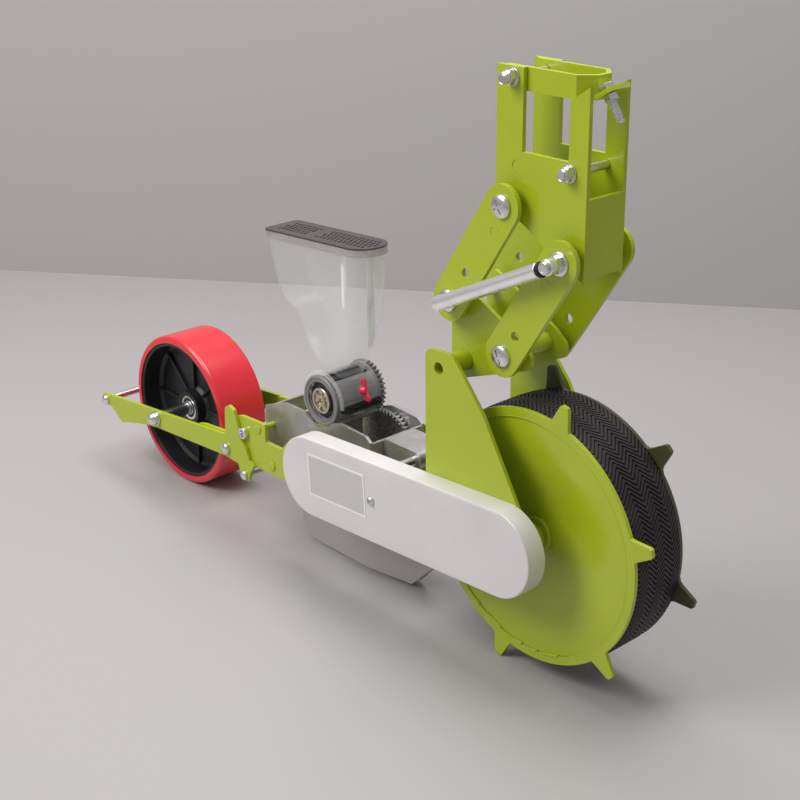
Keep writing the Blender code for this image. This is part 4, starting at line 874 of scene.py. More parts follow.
# ---------------------------------------------------------------- drive wheel
@dataclass
class DriveWheel:
    """The lugged ground wheel with its ribbed rubber band."""

    centre: Point = field(default_factory=lambda: anchor("drive_wheel_spin"))
    body: str = "drive_wheel"
    half_width: float = 0.041
    facets: int = 160
    ring_radius: float = 0.150
    far_ring_radius: float = 0.1478
    ring_width: float = 0.0105
    ring_plate: float = 0.005
    lugs: int = 6
    lug_reach: float = 0.1755
    lug_tip: float = 0.012
    lug_base: float = 0.027
    lug_root: float = 0.004
    lug_corner: float = 0.0025
    stance: float = math.radians(15)
    disc_inset: float = 0.0015
    disc_dish: float = 0.014
    disc_flat: float = 0.034
    disc_lip: float = 0.007
    disc_plate: float = 0.003
    drum_shell: float = 0.0037
    tread_radius: float = 0.1513
    tread_inner: float = 0.146
    tread_pitch: float = 0.0062
    tread_columns: int = 5
    tread_slant: float = 2.2
    groove: float = 0.0021
    shoulder: float = 0.0022
    shoulder_width: float = 0.0026
    crown: float = 0.0011
    axle_radius: float = 0.008
    axle_ends: tuple[float, float] = (-0.0925, 0.084)
    collar: tuple[float, float, float] = (0.012, 0.0715, 0.0775)
    hub_radius: float = 0.020
    hub_half: float = 0.030
    hub_waist: tuple[float, float, float] = (0.018, 0.004, 0.006)
    neck_radius: float = 0.0122
    neck_end: float = 0.0454
    ridges: int = 4
    ridge_pitch: float = 0.0036

    def build(self) -> None:
        """Builds every piece of the wheel."""
        for side in (-1, 1):
            self.lug_ring(side)
            self.disc(side)
        self.tread()
        self.axle()
        self.hub()
        self.weld_beads()

    def lug_ring(self, side: int) -> None:
        """One flat ring with its lugs."""
        base = math.asin(self.lug_base / 2 / self.ring_radius)
        foot = self.ring_radius * math.cos(base)
        half, tip = self.lug_base / 2, self.lug_tip / 2
        flank = [(foot, half), (foot + self.lug_root, half * 0.86), (self.lug_reach - self.lug_corner, tip),
                 (self.lug_reach, tip * 0.65)]
        lug = [(u, -v) for u, v in flank] + flank[::-1]
        radius = self.ring_radius if side < 0 else self.far_ring_radius
        rim: Loop = []
        step = math.tau / self.lugs
        for i in range(self.lugs):
            middle = -math.pi / 2 + side * self.stance + i * step
            rim += turned(lug, self.centre, middle)
            rim += arc(self.centre, radius, middle + base, middle + step - base, 26)[1:-1]
        bore = circle(self.centre, self.ring_radius - self.ring_width, self.facets)
        low, high = sorted((side * self.half_width, side * (self.half_width - self.ring_plate)))
        ring = Bench.plate(f"{side_name(side)}_lugged_ring", [rim, bore], low, high, 0.0006)
        # The far ring is coloured much darker than the near ring.
        finish = Finishes.LIME if side < 0 else Finishes.SOILED
        hand_over(ring, self.body, finish, f"{side_name(side)}_lug_ring")

    def disc(self, side: int) -> None:
        """One dished disc; the near one has the drum under the tread."""
        edge = self.half_width - self.disc_inset
        middle = edge - self.disc_dish
        rim = self.ring_radius - self.ring_width - GAP
        front, back = [], []
        steps = 18
        for i in range(steps + 1):
            share = i / steps
            dip = 0.5 - 0.5 * math.cos(math.pi * share ** 0.85)
            radius = self.disc_flat + (rim - self.disc_lip - self.disc_flat) * share
            front.append((radius, middle + self.disc_dish * dip))
            back.append((radius, middle + self.disc_dish * dip - self.disc_plate))
        profile = [(self.hub_radius, middle), *front, (rim, edge)]
        if side < 0:
            drum = self.tread_inner - GAP
            inside = self.half_width - self.ring_plate - GAP
            profile += [(rim, inside), (drum, inside), (drum, -inside), (drum - self.drum_shell, -inside),
                        (drum - self.drum_shell, inside - self.disc_plate)]
        else:
            profile += [(rim, edge - self.disc_plate)]
        profile += [*back[::-1], (self.hub_radius, middle - self.disc_plate)]
        name = side_name(side)
        disc = Bench.lathe(f"{name}_dished_disc", flipped(profile, side), self.centre, self.facets)
        hand_over(disc, self.body, Finishes.LIME, f"{name}_wheel_disc")

    def tread(self) -> None:
        """The rubber band: columns of slanting ribs that meet in a herringbone."""
        half = self.half_width - self.ring_plate - GAP
        count = round(math.tau * self.tread_radius / self.tread_pitch)
        slant = self.tread_slant * self.tread_pitch / self.tread_radius
        levels = ((0.0, 0.0), (0.10, 0.0), (0.22, -1.0), (0.40, -1.0), (0.52, 0.0))
        top = self.tread_radius - self.shoulder
        rows = [(-half, self.tread_inner, 0.0, 0.0), (-half, top - self.groove, 0.0, 0.0),
                (-half + 0.0004, top, 0.0, 1.0)]
        width = 2 * (half - self.shoulder_width)
        for i in range(self.tread_columns + 1):
            y = -width / 2 + width * i / self.tread_columns
            crown = self.crown * (y / half) ** 4
            rows.append((y, self.tread_radius - crown, float(i % 2), 1.0))
        rows += [(-y, radius, float(self.tread_columns % 2), groove) for y, radius, _, groove in rows[2::-1]]
        rings = []
        for y, radius, zig, groove in rows:
            ring = []
            for i in range(count):
                for share, drop in levels:
                    angle = math.tau * (i + share) / count + zig * slant
                    u, v = on_circle(self.centre, radius + drop * self.groove * groove, angle)
                    ring.append((u, y, v))
            rings.append(ring)
        rings.append(rings[0])
        tread = Bench.loft("herringbone_tread", rings, True)
        Bench.clean(tread)
        Bench.soften(tread, 0)
        hand_over(tread, self.body, Finishes.RUBBER, "rubber_tread")

    def axle(self) -> None:
        """The bright axle with its chamfered ends and its end ring."""
        r, chamfer = self.axle_radius, 0.001
        near, far = self.axle_ends
        ring, start, end = self.collar
        profile = [(0, near), (r - chamfer, near), (r, near + chamfer), (r, start), (ring, start),
                   (ring, end),
                   (r, end), (r, far - chamfer), (r - chamfer, far), (0, far)]
        axle = Bench.lathe("drive_axle_turned", profile, self.centre, 64, SOFT)
        hand_over(axle, self.body, Finishes.STEEL, "drive_axle")

    def hub(self) -> None:
        """The painted hub with its ridged necks."""
        hub, half, chamfer = self.hub_radius, self.hub_half, 0.001
        low, high = self.neck_radius - 0.0014, self.neck_radius + 0.0016
        side = [(hub, half - chamfer), (hub - chamfer, half)]
        for i in range(self.ridges):
            y = half + self.ridge_pitch * i
            side += [(low, y + 0.0008), (high, y + 0.0016), (high, y + 0.0032), (low, y + 0.0040)]
        side += [(self.neck_radius, self.neck_end), (self.axle_radius + HAIR, self.neck_end)]
        waist, inner, outer = self.hub_waist
        middle = [(hub, -outer), (waist, -inner), (waist, inner), (hub, outer)]
        barrel = Bench.lathe("painted_hub", flipped(side[::-1], -1) + middle + side, self.centre, 64, EDGE)
        hand_over(barrel, self.body, Finishes.LIME)

    def weld_beads(self) -> None:
        """A running weld between disc and ring, broken into short lumps at the lower rear."""
        radius = self.ring_radius - self.ring_width + FINE
        lumps = ((204, 5), (219, 7), (233, 4), (243, 10), (262, 5), (274, 3), (281, 9))
        stretches = [(-62, 196, 110, 0.0011)] + [(start, start + length, 6, 0.0019) for start,
                                                 length in lumps]
        for side in (-1, 1):
            y = side * (self.half_width - 0.0008)
            beads = []
            for start, end, steps, thickness in stretches:
                line = arc(self.centre, radius, math.radians(start), math.radians(end), steps)
                beads.append(Bench.tube("bead", [(x, y, z) for x, z in line], thickness))
            hand_over(Bench.join(f"{side_name(side)}_ring_welds", beads), self.body, Finishes.LIME)


# ---------------------------------------------------------------- chain cover
@dataclass
class ChainCover:
    """The pressed cover over the chain, with its bare plate and its screw."""

    front: Point = field(default_factory=lambda: anchor("drive_wheel_spin"))
    rear: Point = field(default_factory=lambda: anchor("meter_drive_spin"))
    body: str = "frame"
    radius: float = 0.052
    face: float = -0.097
    back: float = -0.0713
    wall: float = 0.002
    edge: float = 0.0024
    screw: Point = (-0.202, 0.162)
    screw_radius: float = 0.003
    screw_end: float = -0.062
    label: Point = (-0.2655, 0.1605)
    label_size: tuple[float, float] = (0.106, 0.055)
    border: float = 0.0024
    foil: float = 0.0002

    def build(self) -> None:
        """Builds the cover, the plate on it and the screw."""
        self.shell()
        self.plate()
        self.fixing()

    def shell(self) -> None:
        """The cover, open towards the frame."""
        beyond = 0.003
        shell = Bench.plate("pressed_chain_cover", [belt(self.rear, self.front, self.radius)], self.face,
                            self.back + beyond, self.edge)
        trim = rectangle(-0.16, 0.16, 0.3, 0.2)
        Bench.cut(shell, Bench.plate("trim", [trim], self.back, self.back + 0.01, HAIR))
        inside = belt(self.rear, self.front, self.radius - self.wall)
        Bench.cut(shell, Bench.plate("pocket", [inside], self.face + self.wall, self.back + 0.004, 0.0004))
        drill = rod(self.screw_radius + GAP, self.face - 0.002, self.back)
        Bench.cut(shell, Bench.lathe("hole", drill, self.screw, 32, 0))
        Bench.soften(shell, 0)
        hand_over(shell, self.body, Finishes.SILVER, "chain_cover")

    def plate(self) -> None:
        """A bare bordered plate, with no marks on it."""
        slope = math.atan2(self.front[1] - self.rear[1], self.front[0] - self.rear[0])
        half_u, half_v = self.label_size[0] / 2, self.label_size[1] / 2
        outer = rectangle(*self.label, half_u, half_v, slope)
        inner = rectangle(*self.label, half_u - self.border, half_v - self.border, slope)
        rim = Bench.plate("label_frame", [outer, inner], self.face - 3 * self.foil, self.face, 0.00015)
        hand_over(rim, self.body, Finishes.BORDER)
        panel = Bench.plate("label_panel", [inner], self.face - 1.5 * self.foil, self.face, HAIR)
        hand_over(panel, self.body, Finishes.PLATE)

    def fixing(self) -> None:
        """The cover's round-headed screw."""
        face = self.face - GAP
        curve = ((0.0055, 0), (0.0055, 0.0012), (0.0048, 0.0026), (0.0028, 0.0036), (0, 0.0037))
        head = [(0, face)] + [(radius, face - height) for radius, height in curve]
        dome = Bench.lathe("screw_head", head, self.screw, 40, 0)
        for turn in (0.3, 0.3 + math.pi / 2):
            slot = rectangle(*self.screw, 0.003, 0.0005, turn)
            Bench.cut(dome, Bench.plate("slot", [slot], face - 0.005, face - 0.002, HAIR))
        shank = Bench.lathe("screw_shank", rod(self.screw_radius, face, self.screw_end), self.screw, 24, EDGE)
        screw = Bench.join("cover_screw_detailed", [dome, shank])
        hand_over(screw, self.body, Finishes.ZINC, "cover_screw")


# ---------------------------------------------------------------- frame plates
@dataclass
class PlateWork:
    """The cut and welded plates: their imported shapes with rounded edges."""

    plates: tuple[tuple[str, str, float], ...] = (
        ("near_side_plate", "frame", 0.0006), ("far_side_plate", "frame", 0.0006),
        ("near_press_arm", "press_arms", 0.0006), ("far_press_arm", "press_arms", 0.0006),
        ("near_rear_link", "link_rear", 0.0007), ("far_rear_link", "link_rear", 0.0007),
        ("near_front_link", "link_front", 0.0007), ("far_front_link", "link_front", 0.0007),
        ("link_bracket", "frame", 0.0006), ("head_bracket", "head", 0.0006), ("clamp_gate", "gate", 0.0006))

    def build(self) -> None:
        """Refines every plate."""
        for node, body, soft in self.plates:
            plate = Bench.refined(node, f"{node}_edged", soft)
            hand_over(plate, body, Finishes.LIME, node)


# ---------------------------------------------------------------- bolts of the unit
@dataclass
class BoltSet:
    """Every bolt, pin and rod of the unit."""

    frame_grip: float = 0.0713
    arm_grip: float = 0.0766
    head_grip: float = 0.0303
    link_grip: float = 0.0453
    pin_radius: float = 0.0057

    def build(self) -> None:
        """Builds all bolts."""
        self.frame_bolts()
        self.arm_bolts()
        self.head_bolts()

    def frame_bolts(self) -> None:
        """The rods and bolts that hold the side plates apart."""
        grip = self.frame_grip
        for name, centre, size, head, nut in (("rear_carrier_rod", (-0.456, 0.165), 0.013, 0.0015, 0.005),
                                              ("shoe_bolt", (-0.428, 0.122), 0.013, 0.002, 0.006)):
            Bolt(name, "frame", centre, 0.004, grip, Head.DOME, size, head, size, nut,
                 Finishes.PAINTED).build()
        Bolt("front_carrier_rod", "frame", (-0.205, 0.190), 0.006, grip, Head.DOME, 0.018, 0.004,
             0.018, 0.008).build()
        Bolt("arm_pivot_bolt", "frame", anchor("press_arm_pivot"), 0.005, self.arm_grip, Head.DOME,
             0.016, 0.006, 0.016, 0.008).build()
        Bolt("depth_lock_bolt", "frame", (-0.484, 0.152), 0.005, grip, Head.SOCKET, 0.016, 0.006,
             0.0145, 0.007, washer_share=1.1).build()

    def arm_bolts(self) -> None:
        """The rods between the press wheel's arms."""
        for name, centre, shank, size, head, nut in (("toe_tie_rod", (-0.483, 0.092), 0.004, 0.013, 0.005,
                                                      0.006),
                                                     ("tail_bolt", (-0.826, 0.098), 0.005, 0.015, 0.006,
                                                      0.007)):
            Bolt(name, "press_arms", centre, shank, self.arm_grip, Head.DOME, size, head, size, nut).build()

    def head_bolts(self) -> None:
        """The head's two bolts and the linkage's plain pivots."""
        for name, centre, height in (("gate_pin", anchor("gate_hinge"), 0.016),
                                     ("clamp_bolt", (0.032, 0.584), 0.013)):
            Bolt(name, "head", centre, 0.005, self.head_grip, Head.CAPPED, 0.015, height, 0.015,
                 0.009).build()
        for name, body, joint in (("pivot_bolt_a", "head", "head_level"),
                                  ("pivot_bolt_c", "frame", "linkage_fold"),
                                  ("pivot_bolt_d", "frame", "front_link_fold")):
            Bolt(name, body, anchor(joint), self.pin_radius, self.link_grip, Head.CROSS, 0.026, 0.0057,
                 0.018, 0.010).build()


# ---------------------------------------------------------------- press wheel
@dataclass
class PressWheel:
    """The red press wheel on its black ribbed hub."""

    centre: Point = field(default_factory=lambda: anchor("press_wheel_spin"))
    body: str = "press_wheel"
    radius: float = 0.1095
    half: float = 0.037
    tyre: float = 0.010
    corner: float = 0.0048
    rim: float = 0.0052
    rim_half: float = 0.035
    web: float = 0.005
    boss: float = 0.025
    boss_half: float = 0.022
    bore: float = 0.009
    bearing: float = 0.0180
    bearing_bore: float = 0.0065
    bearing_span: tuple[float, float] = (0.0098, 0.0208)
    race_width: float = 0.0035
    ribs: int = 8
    rib_size: tuple[float, float] = (0.020, 0.0032)

    def build(self) -> None:
        """Builds the tyre, the hub and the bearings."""
        inner = self.radius - self.tyre
        crown = arc((self.radius - self.corner, self.half - self.corner), self.corner, 0, math.pi / 2, 8)
        profile = [(inner, -self.half), *flipped(crown[::-1], -1), *crown, (inner, self.half)]
        tyre = Bench.lathe("cast_press_tyre", profile, self.centre, 128, 0.0006)
        hand_over(tyre, self.body, Finishes.RED, "press_tyre")
        self.hub(inner - GAP)
        for side in (-1, 1):
            self.race(side)

    def hub(self, outer: float) -> None:
        """Rim, dished web, boss and radial ribs."""
        rim_in, web, seat = outer - self.rim, self.web, self.bearing + GAP
        step, slope, chamfer = 0.006, 0.004, 0.001
        side = [(seat, self.boss_half), (self.boss, self.boss_half), (self.boss + chamfer, web + slope),
                (self.boss + step, web), (rim_in - step, web), (rim_in - chamfer, web + slope),
                (rim_in, self.rim_half - 0.003), (rim_in + chamfer, self.rim_half), (outer, self.rim_half)]
        depth = self.bearing_span[0] - HAIR
        bore = [(seat, -depth), (self.bore, -depth), (self.bore, depth), (seat, depth)]
        body = Bench.lathe("hub_body", side + flipped(side[::-1], -1) + bore, self.centre, 96, SOFT)
        length = rim_in - self.boss
        width, thickness = self.rib_size
        rib = Bench.block("rib", (self.centre[0] + self.boss + length / 2, 0, self.centre[1]),
                          (length + 0.002, width, thickness), 0.0008)
        pieces = [body] + Bench.repeat(rib, self.ribs, self.centre)
        hand_over(Bench.join("ribbed_press_hub", pieces), self.body, Finishes.BLACK, "press_hub")

    def race(self, side: int) -> None:
        """A sealed ball bearing: two bright races and a dark shield."""
        inside, face = self.bearing_span
        outer, inner, width = self.bearing, self.bearing_bore, self.race_width
        bed = face - 0.0009
        profile = [(outer, inside), (outer, face), (outer - width, face), (outer - width - EDGE, bed),
                   (inner + width + EDGE, bed), (inner + width, face), (inner, face), (inner, inside)]
        name = side_name(side)
        race = Bench.lathe(f"{name}_press_race", flipped(profile, side), self.centre, 64, EDGE)
        hand_over(race, self.body, Finishes.CHROME, f"{name}_press_bearing")
        start, end = inner + width + FINE, outer - width - FINE
        low, high = face - 0.0008, face - 0.0004
        ring = [(start, low), (end, low), (end, high), (start, high)]
        shield = Bench.lathe(f"{name}_race_shield", flipped(ring, side), self.centre, 64, 0)
        hand_over(shield, self.body, Finishes.BLACK)


@dataclass
class PressAxle:
    """The fixed axle of the press wheel, between the arms."""

    centre: Point = field(default_factory=lambda: anchor("press_wheel_spin"))
    body: str = "press_arms"
    radius: float = 0.006
    grip: float = 0.0766
    arm_inside: float = 0.0710
    spacer_start: float = 0.0213
    spacer_radius: float = 0.009
    flange_radius: float = 0.0105
    cap_radius: float = 0.0095

    def build(self) -> None:
        """Builds the axle with its spacers and end nuts."""
        end = self.grip + 0.001
        pieces = [Bench.lathe("axle", rod(self.radius, -end, end), self.centre, 40, 0)]
        for side in (-1, 1):
            pieces.append(Bench.lathe("spacer", flipped(self.spacer(), side), self.centre, 40, EDGE))
            pieces.append(Bench.lathe("cap", flipped(self.cap(), side), self.centre, 48, EDGE))
        hand_over(Bench.join("press_axle_turned", pieces), self.body, Finishes.ZINC, "press_axle")

    def spacer(self) -> Loop:
        """The profile of a spacer with a flange against its arm."""
        start, inside, chamfer = self.spacer_start, self.arm_inside, 0.001
        return [(self.radius, start), (self.spacer_radius - 0.0008, start),
                (self.spacer_radius, start + chamfer),
                (self.spacer_radius, inside - chamfer), (self.flange_radius, inside - chamfer),
                (self.flange_radius, inside), (self.radius, inside)]

    def cap(self) -> Loop:
        """The profile of a domed nut with its flange."""
        flange, wall, rise, steps = self.grip + 0.0015, self.grip + 0.005, 0.008, 7
        dome = [(self.cap_radius * math.cos(i * math.pi / 2 / steps),
                 wall + rise * math.sin(i * math.pi / 2 / steps)) for i in range(steps)]
        return [(0, self.grip), (self.flange_radius, self.grip), (self.flange_radius, flange),
                (self.cap_radius, flange), *dome, (0, wall + rise)]


# ---------------------------------------------------------------- hopper and lid
class Level(NamedTuple):
    """One outline of the hopper: its height, rear end, front end and half width."""

    height: float
    rear: float
    front: float
    half: float


def eased(before: Level, start: Level, end: Level, after: Level, share: float) -> Level:
    """A level between start and end, on a smooth curve through all four.

    Args:
        before: The level below start.
        start: Where the stretch starts.
        end: Where it ends.
        after: The level above end.
        share: How far along the stretch, from 0 to 1.

    Returns:
        The level there.
    """
    rise = end.height - start.height
    flat = 1e-6
    weights = (2 * share ** 3 - 3 * share ** 2 + 1, share ** 3 - 2 * share ** 2 + share,
               3 * share ** 2 - 2 * share ** 3, share ** 3 - share ** 2)
    row = [start.height + rise * share]
    for a, b, c, d in list(zip(before, start, end, after))[1:]:
        slope_start = (c - a) / max(end.height - before.height, flat) * rise
        slope_end = (d - b) / max(after.height - start.height, flat) * rise
        row.append(sum(weight * term for weight, term in zip(weights, (b, slope_start, c, slope_end))))
    return Level(*row)


@dataclass
class SeedHopper:
    """The clear hopper, its smoked lid with air holes, and the chute below the meter."""

    meter: Point = field(default_factory=lambda: anchor("meter_drive_spin"))
    roller: Point = field(default_factory=lambda: anchor("roller_spin"))
    tilt: float = math.radians(3.2)
    wall: float = 0.0022
    corner: float = 0.007
    levels: tuple[Level, ...] = (
        Level(0.0960, -0.0600, -0.0140, 0.0215), Level(0.1150, -0.0630, -0.0050, 0.0220),
        Level(0.1440, -0.0840, 0.0125, 0.0230), Level(0.1800, -0.1000, 0.0250, 0.0240),
        Level(0.1900, -0.1200, 0.0285, 0.0245), Level(0.2140, -0.1330, 0.0358, 0.0250),
        Level(0.2765, -0.1455, 0.0437, 0.0258))
    housing_radius: float = 0.0343
    housing_span: tuple[float, float] = (-0.037, 0.031)
    lid_wall: float = 0.0017
    lid_play: float = 0.0006
    lid_corner: float = 0.006
    lid_top: float = 0.0022
    skirt: float = 0.0085
    hole_radius: float = 0.0022
    hole_pitch: float = 0.0072
    hole_rows: int = 5
    hole_fields: tuple[tuple[float, float], ...] = ((-0.130, -0.078), (-0.056, 0.040))
    hole_margin: float = 0.005

    def placing(self) -> Matrix:
        """From the hopper's own leaning frame to the machine's."""
        return Matrix.Translation((self.meter[0], 0, self.meter[1])) @ Matrix.Rotation(-self.tilt, 4, "Y")

    def build(self) -> None:
        """Builds the hopper, the lid and the chute."""
        self.shell()
        self.lid()
        chute = Bench.refined("seed_chute", "seed_chute_moulded", 0.0004)
        hand_over(chute, "frame", Finishes.GREY, "seed_chute")

    def eased_levels(self, steps: int = 5) -> list[Level]:
        """The levels with rounded ones between them."""
        last = len(self.levels) - 1
        made = []
        for i in range(last):
            four = [self.levels[k] for k in (max(0, i - 1), i, i + 1, min(last, i + 2))]
            made += [eased(*four, k / steps) for k in range(steps)]
        return made + [self.levels[last]]

    def shell(self) -> None:
        """The flared shell, cut to sit on the round housing."""
        levels = self.eased_levels()
        t = self.wall
        outer = [[(u, y, height) for u, y in d_plan(rear, front, half, self.corner)]
                 for height, rear, front, half in levels]
        inner = [[(u, y, height) for u, y in d_plan(rear + t, front - t, half - t, self.corner - t)]
                 for height, rear, front, half in levels]
        hopper = Bench.loft("clear_seed_hopper", outer + inner[::-1] + outer[:1], True, self.placing())
        drum = rod(self.housing_radius, *self.housing_span)
        Bench.cut(hopper, Bench.lathe("drum", drum, self.roller, 72, 0))
        Bench.soften(hopper, 0)
        # The hopper's finish paints reflections onto its near wall as pale streaks.
        hand_over(hopper, "frame", Finishes.HOPPER, "hopper")

    def air_holes(self, front: float, half: float) -> list[Loop]:
        """Staggered holes in two fields, inside the lid's rounded front."""
        holes = []
        nose = front - half
        for low, high in self.hole_fields:
            for row in range(-(self.hole_rows // 2), self.hole_rows // 2 + 1):
                y = row * self.hole_pitch * 0.95
                u = low + (row % 2) * self.hole_pitch / 2
                while u < high:
                    if math.hypot(max(0.0, u - nose), y) < half - self.hole_margin:
                        holes.append(circle((u, y), self.hole_radius, 12))
                    u += self.hole_pitch
        return holes

    def lid(self) -> None:
        """The lid: a plate with two groups of air holes, on a paler skirt."""
        rim, rear, front, half = self.levels[-1]
        plans = [d_plan(rear - play, front + play, half + play, self.lid_corner + play)
                 for play in (self.lid_play + self.lid_wall, self.lid_play)]
        seat = rim + GAP
        top = Bench.plate("vented_lid", plans[:1] + self.air_holes(front, half), seat, seat + self.lid_top,
                          SOFT,
                          self.placing())
        hand_over(top, "lid", Finishes.SMOKE, "hopper_lid")
        skirt = Bench.plate("lid_skirt", plans, rim - self.skirt, seat, EDGE, self.placing())
        hand_over(skirt, "lid", Finishes.SKIRT)


# ---------------------------------------------------------------- seed meter
@dataclass
class SeedMeter:
    """The clear drum with its roller, brush, rings and wing screw, on the cast carrier."""

    roller: Point = field(default_factory=lambda: anchor("roller_spin"))
    drum: float = 0.034
    flange_radius: float = 0.0392
    flange_width: float = 0.003
    flange_span: tuple[float, float] = (math.radians(-4), math.radians(215))
    near: float = -0.037
    window: float = 0.024
    ring_height: float = 0.0034
    hub: float = 0.017
    hub_seat: float = -0.0332
    hub_end: float = 0.0400
    hub_shaft: float = 0.005
    hub_ribs: int = 6
    brush_line: float = math.radians(-9.5)
    brush: float = 0.008
    brush_low: float = 0.0293
    brush_span: tuple[float, float] = (-0.0337, 0.0277)
    bristle_columns: int = 22
    bristle_pitch: float = 0.0028
    bristle: float = 0.0007
    wing_line: float = math.radians(21)
    wing_seat: float = 0.0383
    wing_half: float = 0.0018
    wing_shank: float = 0.003

    def build(self) -> None:
        """Builds every piece of the meter."""
        for node, name, soft, segments, body, finish in (
                ("meter_housing", "meter_drum_clear", SOFT, 2, "frame", Finishes.HOUSING),
                ("seed_roller", "celled_seed_roller", EDGE, 2, "roller", Finishes.BLACK),
                ("meter_carrier", "cast_meter_carrier", 0.0009, 3, "frame", Finishes.CAST)):
            hand_over(Bench.refined(node, name, soft, segments), body, finish, node)
        self.flange()
        self.ring()
        self.hub_cap()
        self.bristles()
        self.wing()
        for node, finish in (("roller_gear", Finishes.NYLON), ("meter_gear", Finishes.STEEL),
                             ("meter_shaft", Finishes.STEEL), ("meter_sprocket", Finishes.STEEL),
                             ("drive_sprocket", Finishes.STEEL), ("roller_chain", Finishes.CHAIN)):
            dress_node(node, finish)

    def flange(self) -> None:
        """The clear rim that stands out round most of the drum's near end."""
        start, end = self.flange_span
        outline = arc(self.roller, self.flange_radius, start, end, 72)
        outline += arc(self.roller, self.drum + FINE, end, start, 72)
        rim = Bench.plate("meter_drum_flange", [outline], self.near, self.near + self.flange_width, SOFT)
        hand_over(rim, "frame", Finishes.HOUSING)

    def ring(self) -> None:
        """The grey ring round the window, with a raised lip and a groove."""
        back = self.near - GAP
        face = back - self.ring_height
        groove = face + 0.0011
        inner, outer = self.window + 0.001, self.drum - 0.001
        profile = [(inner, back), (outer, back), (outer, face + 0.0010), (outer - 0.0012, face),
                   (outer - 0.0034, face), (outer - 0.0040, groove), (inner + 0.0016, groove),
                   (inner + 0.0012, face + 0.0004), (inner, face + 0.0008)]
        ring = Bench.lathe("window_ring_moulded", profile, self.roller, 96, FINE)
        hand_over(ring, "frame", Finishes.GREY, "window_ring")

    def hub_cap(self) -> None:
        """The metal hub that shows in the window, with its slots, on the roller's shaft."""
        face = self.near - 0.003
        steps = ((0, 0.0010), (0.0042, 0.0010), (0.0046, -0.0002), (0.0078, -0.0002), (0.0084, 0.0026),
                 (0.0128, 0.0026), (0.0134, 0), (0.0164, 0), (self.hub, 0.0006))
        profile = [(radius, face + depth) for radius, depth in steps]
        profile += [(self.hub, self.hub_seat), (self.hub_shaft, self.hub_seat),
                    (self.hub_shaft, self.hub_end),
                    (0, self.hub_end)]
        cap = Bench.lathe("roller_hub_slotted", profile, self.roller, 72, FINE)
        slot = rectangle(*self.roller, 0.0066, 0.0011, 0.6)
        Bench.cut(cap, Bench.plate("slot", [slot], face - 0.002, face + 0.0022, HAIR))
        for i in range(self.hub_ribs):
            turn = 0.3 + i * math.tau / self.hub_ribs
            rib = rectangle(*on_circle(self.roller, 0.0106, turn), 0.0026, 0.0008, turn)
            Bench.cut(cap, Bench.plate("rib", [rib], face + 0.0006, face + 0.0040, HAIR), "UNION")
        Bench.soften(cap, 0)
        hand_over(cap, "roller", Finishes.HUB, "roller_shaft")

    def bristles(self) -> None:
        """The wiper: a holder in the slot and rows of bristles that spread out of it."""
        low, high = self.brush_low, self.drum + 0.003
        cos, sin = math.cos(self.brush_line), math.sin(self.brush_line)
        centre = on_circle(self.roller, (low + high) / 2, self.brush_line)
        block = rectangle(*centre, (high - low) / 2, self.brush / 2, self.brush_line)
        pieces = [Bench.plate("holder", [block], *self.brush_span, 0.0004)]
        for column in range(self.bristle_columns):
            y = -0.0325 + self.bristle_pitch * column
            for row in (-1, 0, 1):
                sway = math.sin(7.3 * column + 2.9 * row)
                lean = row * 0.0026 + 0.0007 * sway
                tip = self.drum + 0.0078 - 0.0008 * abs(sway)
                points = []
                for reach, across in ((high - 0.001, row * 0.0024), (tip, row * 0.0024 + lean * 0.35)):
                    points.append((self.roller[0] + reach * cos - across * sin, y + 0.0008 * sway,
                                   self.roller[1] + reach * sin + across * cos))
                pieces.append(Bench.tube("bristle", points, self.bristle, 4))
        hand_over(Bench.join("wiper_brush_bristled", pieces), "frame", Finishes.BLACK, "wiper_brush")

    def wing(self) -> None:
        """The red wing screw: a round boss with two rounded wings."""
        turn = Matrix.Rotation(math.pi / 2 - self.wing_line, 4, "Y")
        placing = Matrix.Translation((self.roller[0], 0, self.roller[1])) @ turn
        seat = self.wing_seat
        steps = ((0, 0), (0.0060, 0), (0.0060, 0.0024), (0.0050, 0.0050), (0.0034, 0.0076), (0, 0.0080))
        boss = [(radius, seat + height) for radius, height in steps]
        pieces = [Bench.lathe("boss", boss, steps=40, placing=placing)]
        outline = ((0.001, 0.0006), (0.0066, 0.0010), (0.0116, 0.0016), (0.0146, 0.0034), (0.0156, 0.0064),
                   (0.0144, 0.0094), (0.0114, 0.0104), (0.0080, 0.0094), (0.0044, 0.0078), (0.001, 0.0080))
        for side in (-1, 1):
            lobe = [(side * across, seat + height) for across, height in outline]
            pieces.append(Bench.plate("lobe", [lobe], -self.wing_half, self.wing_half, 0.0011,
                                      placing @ SIDEWAYS))
        shank = rod(self.wing_shank, self.drum + GAP, seat)
        pieces.append(Bench.lathe("shank", shank, steps=24, soft=0, placing=placing))
        hand_over(Bench.join("red_wing_screw", pieces), "wing", Finishes.WING, "wing_screw")


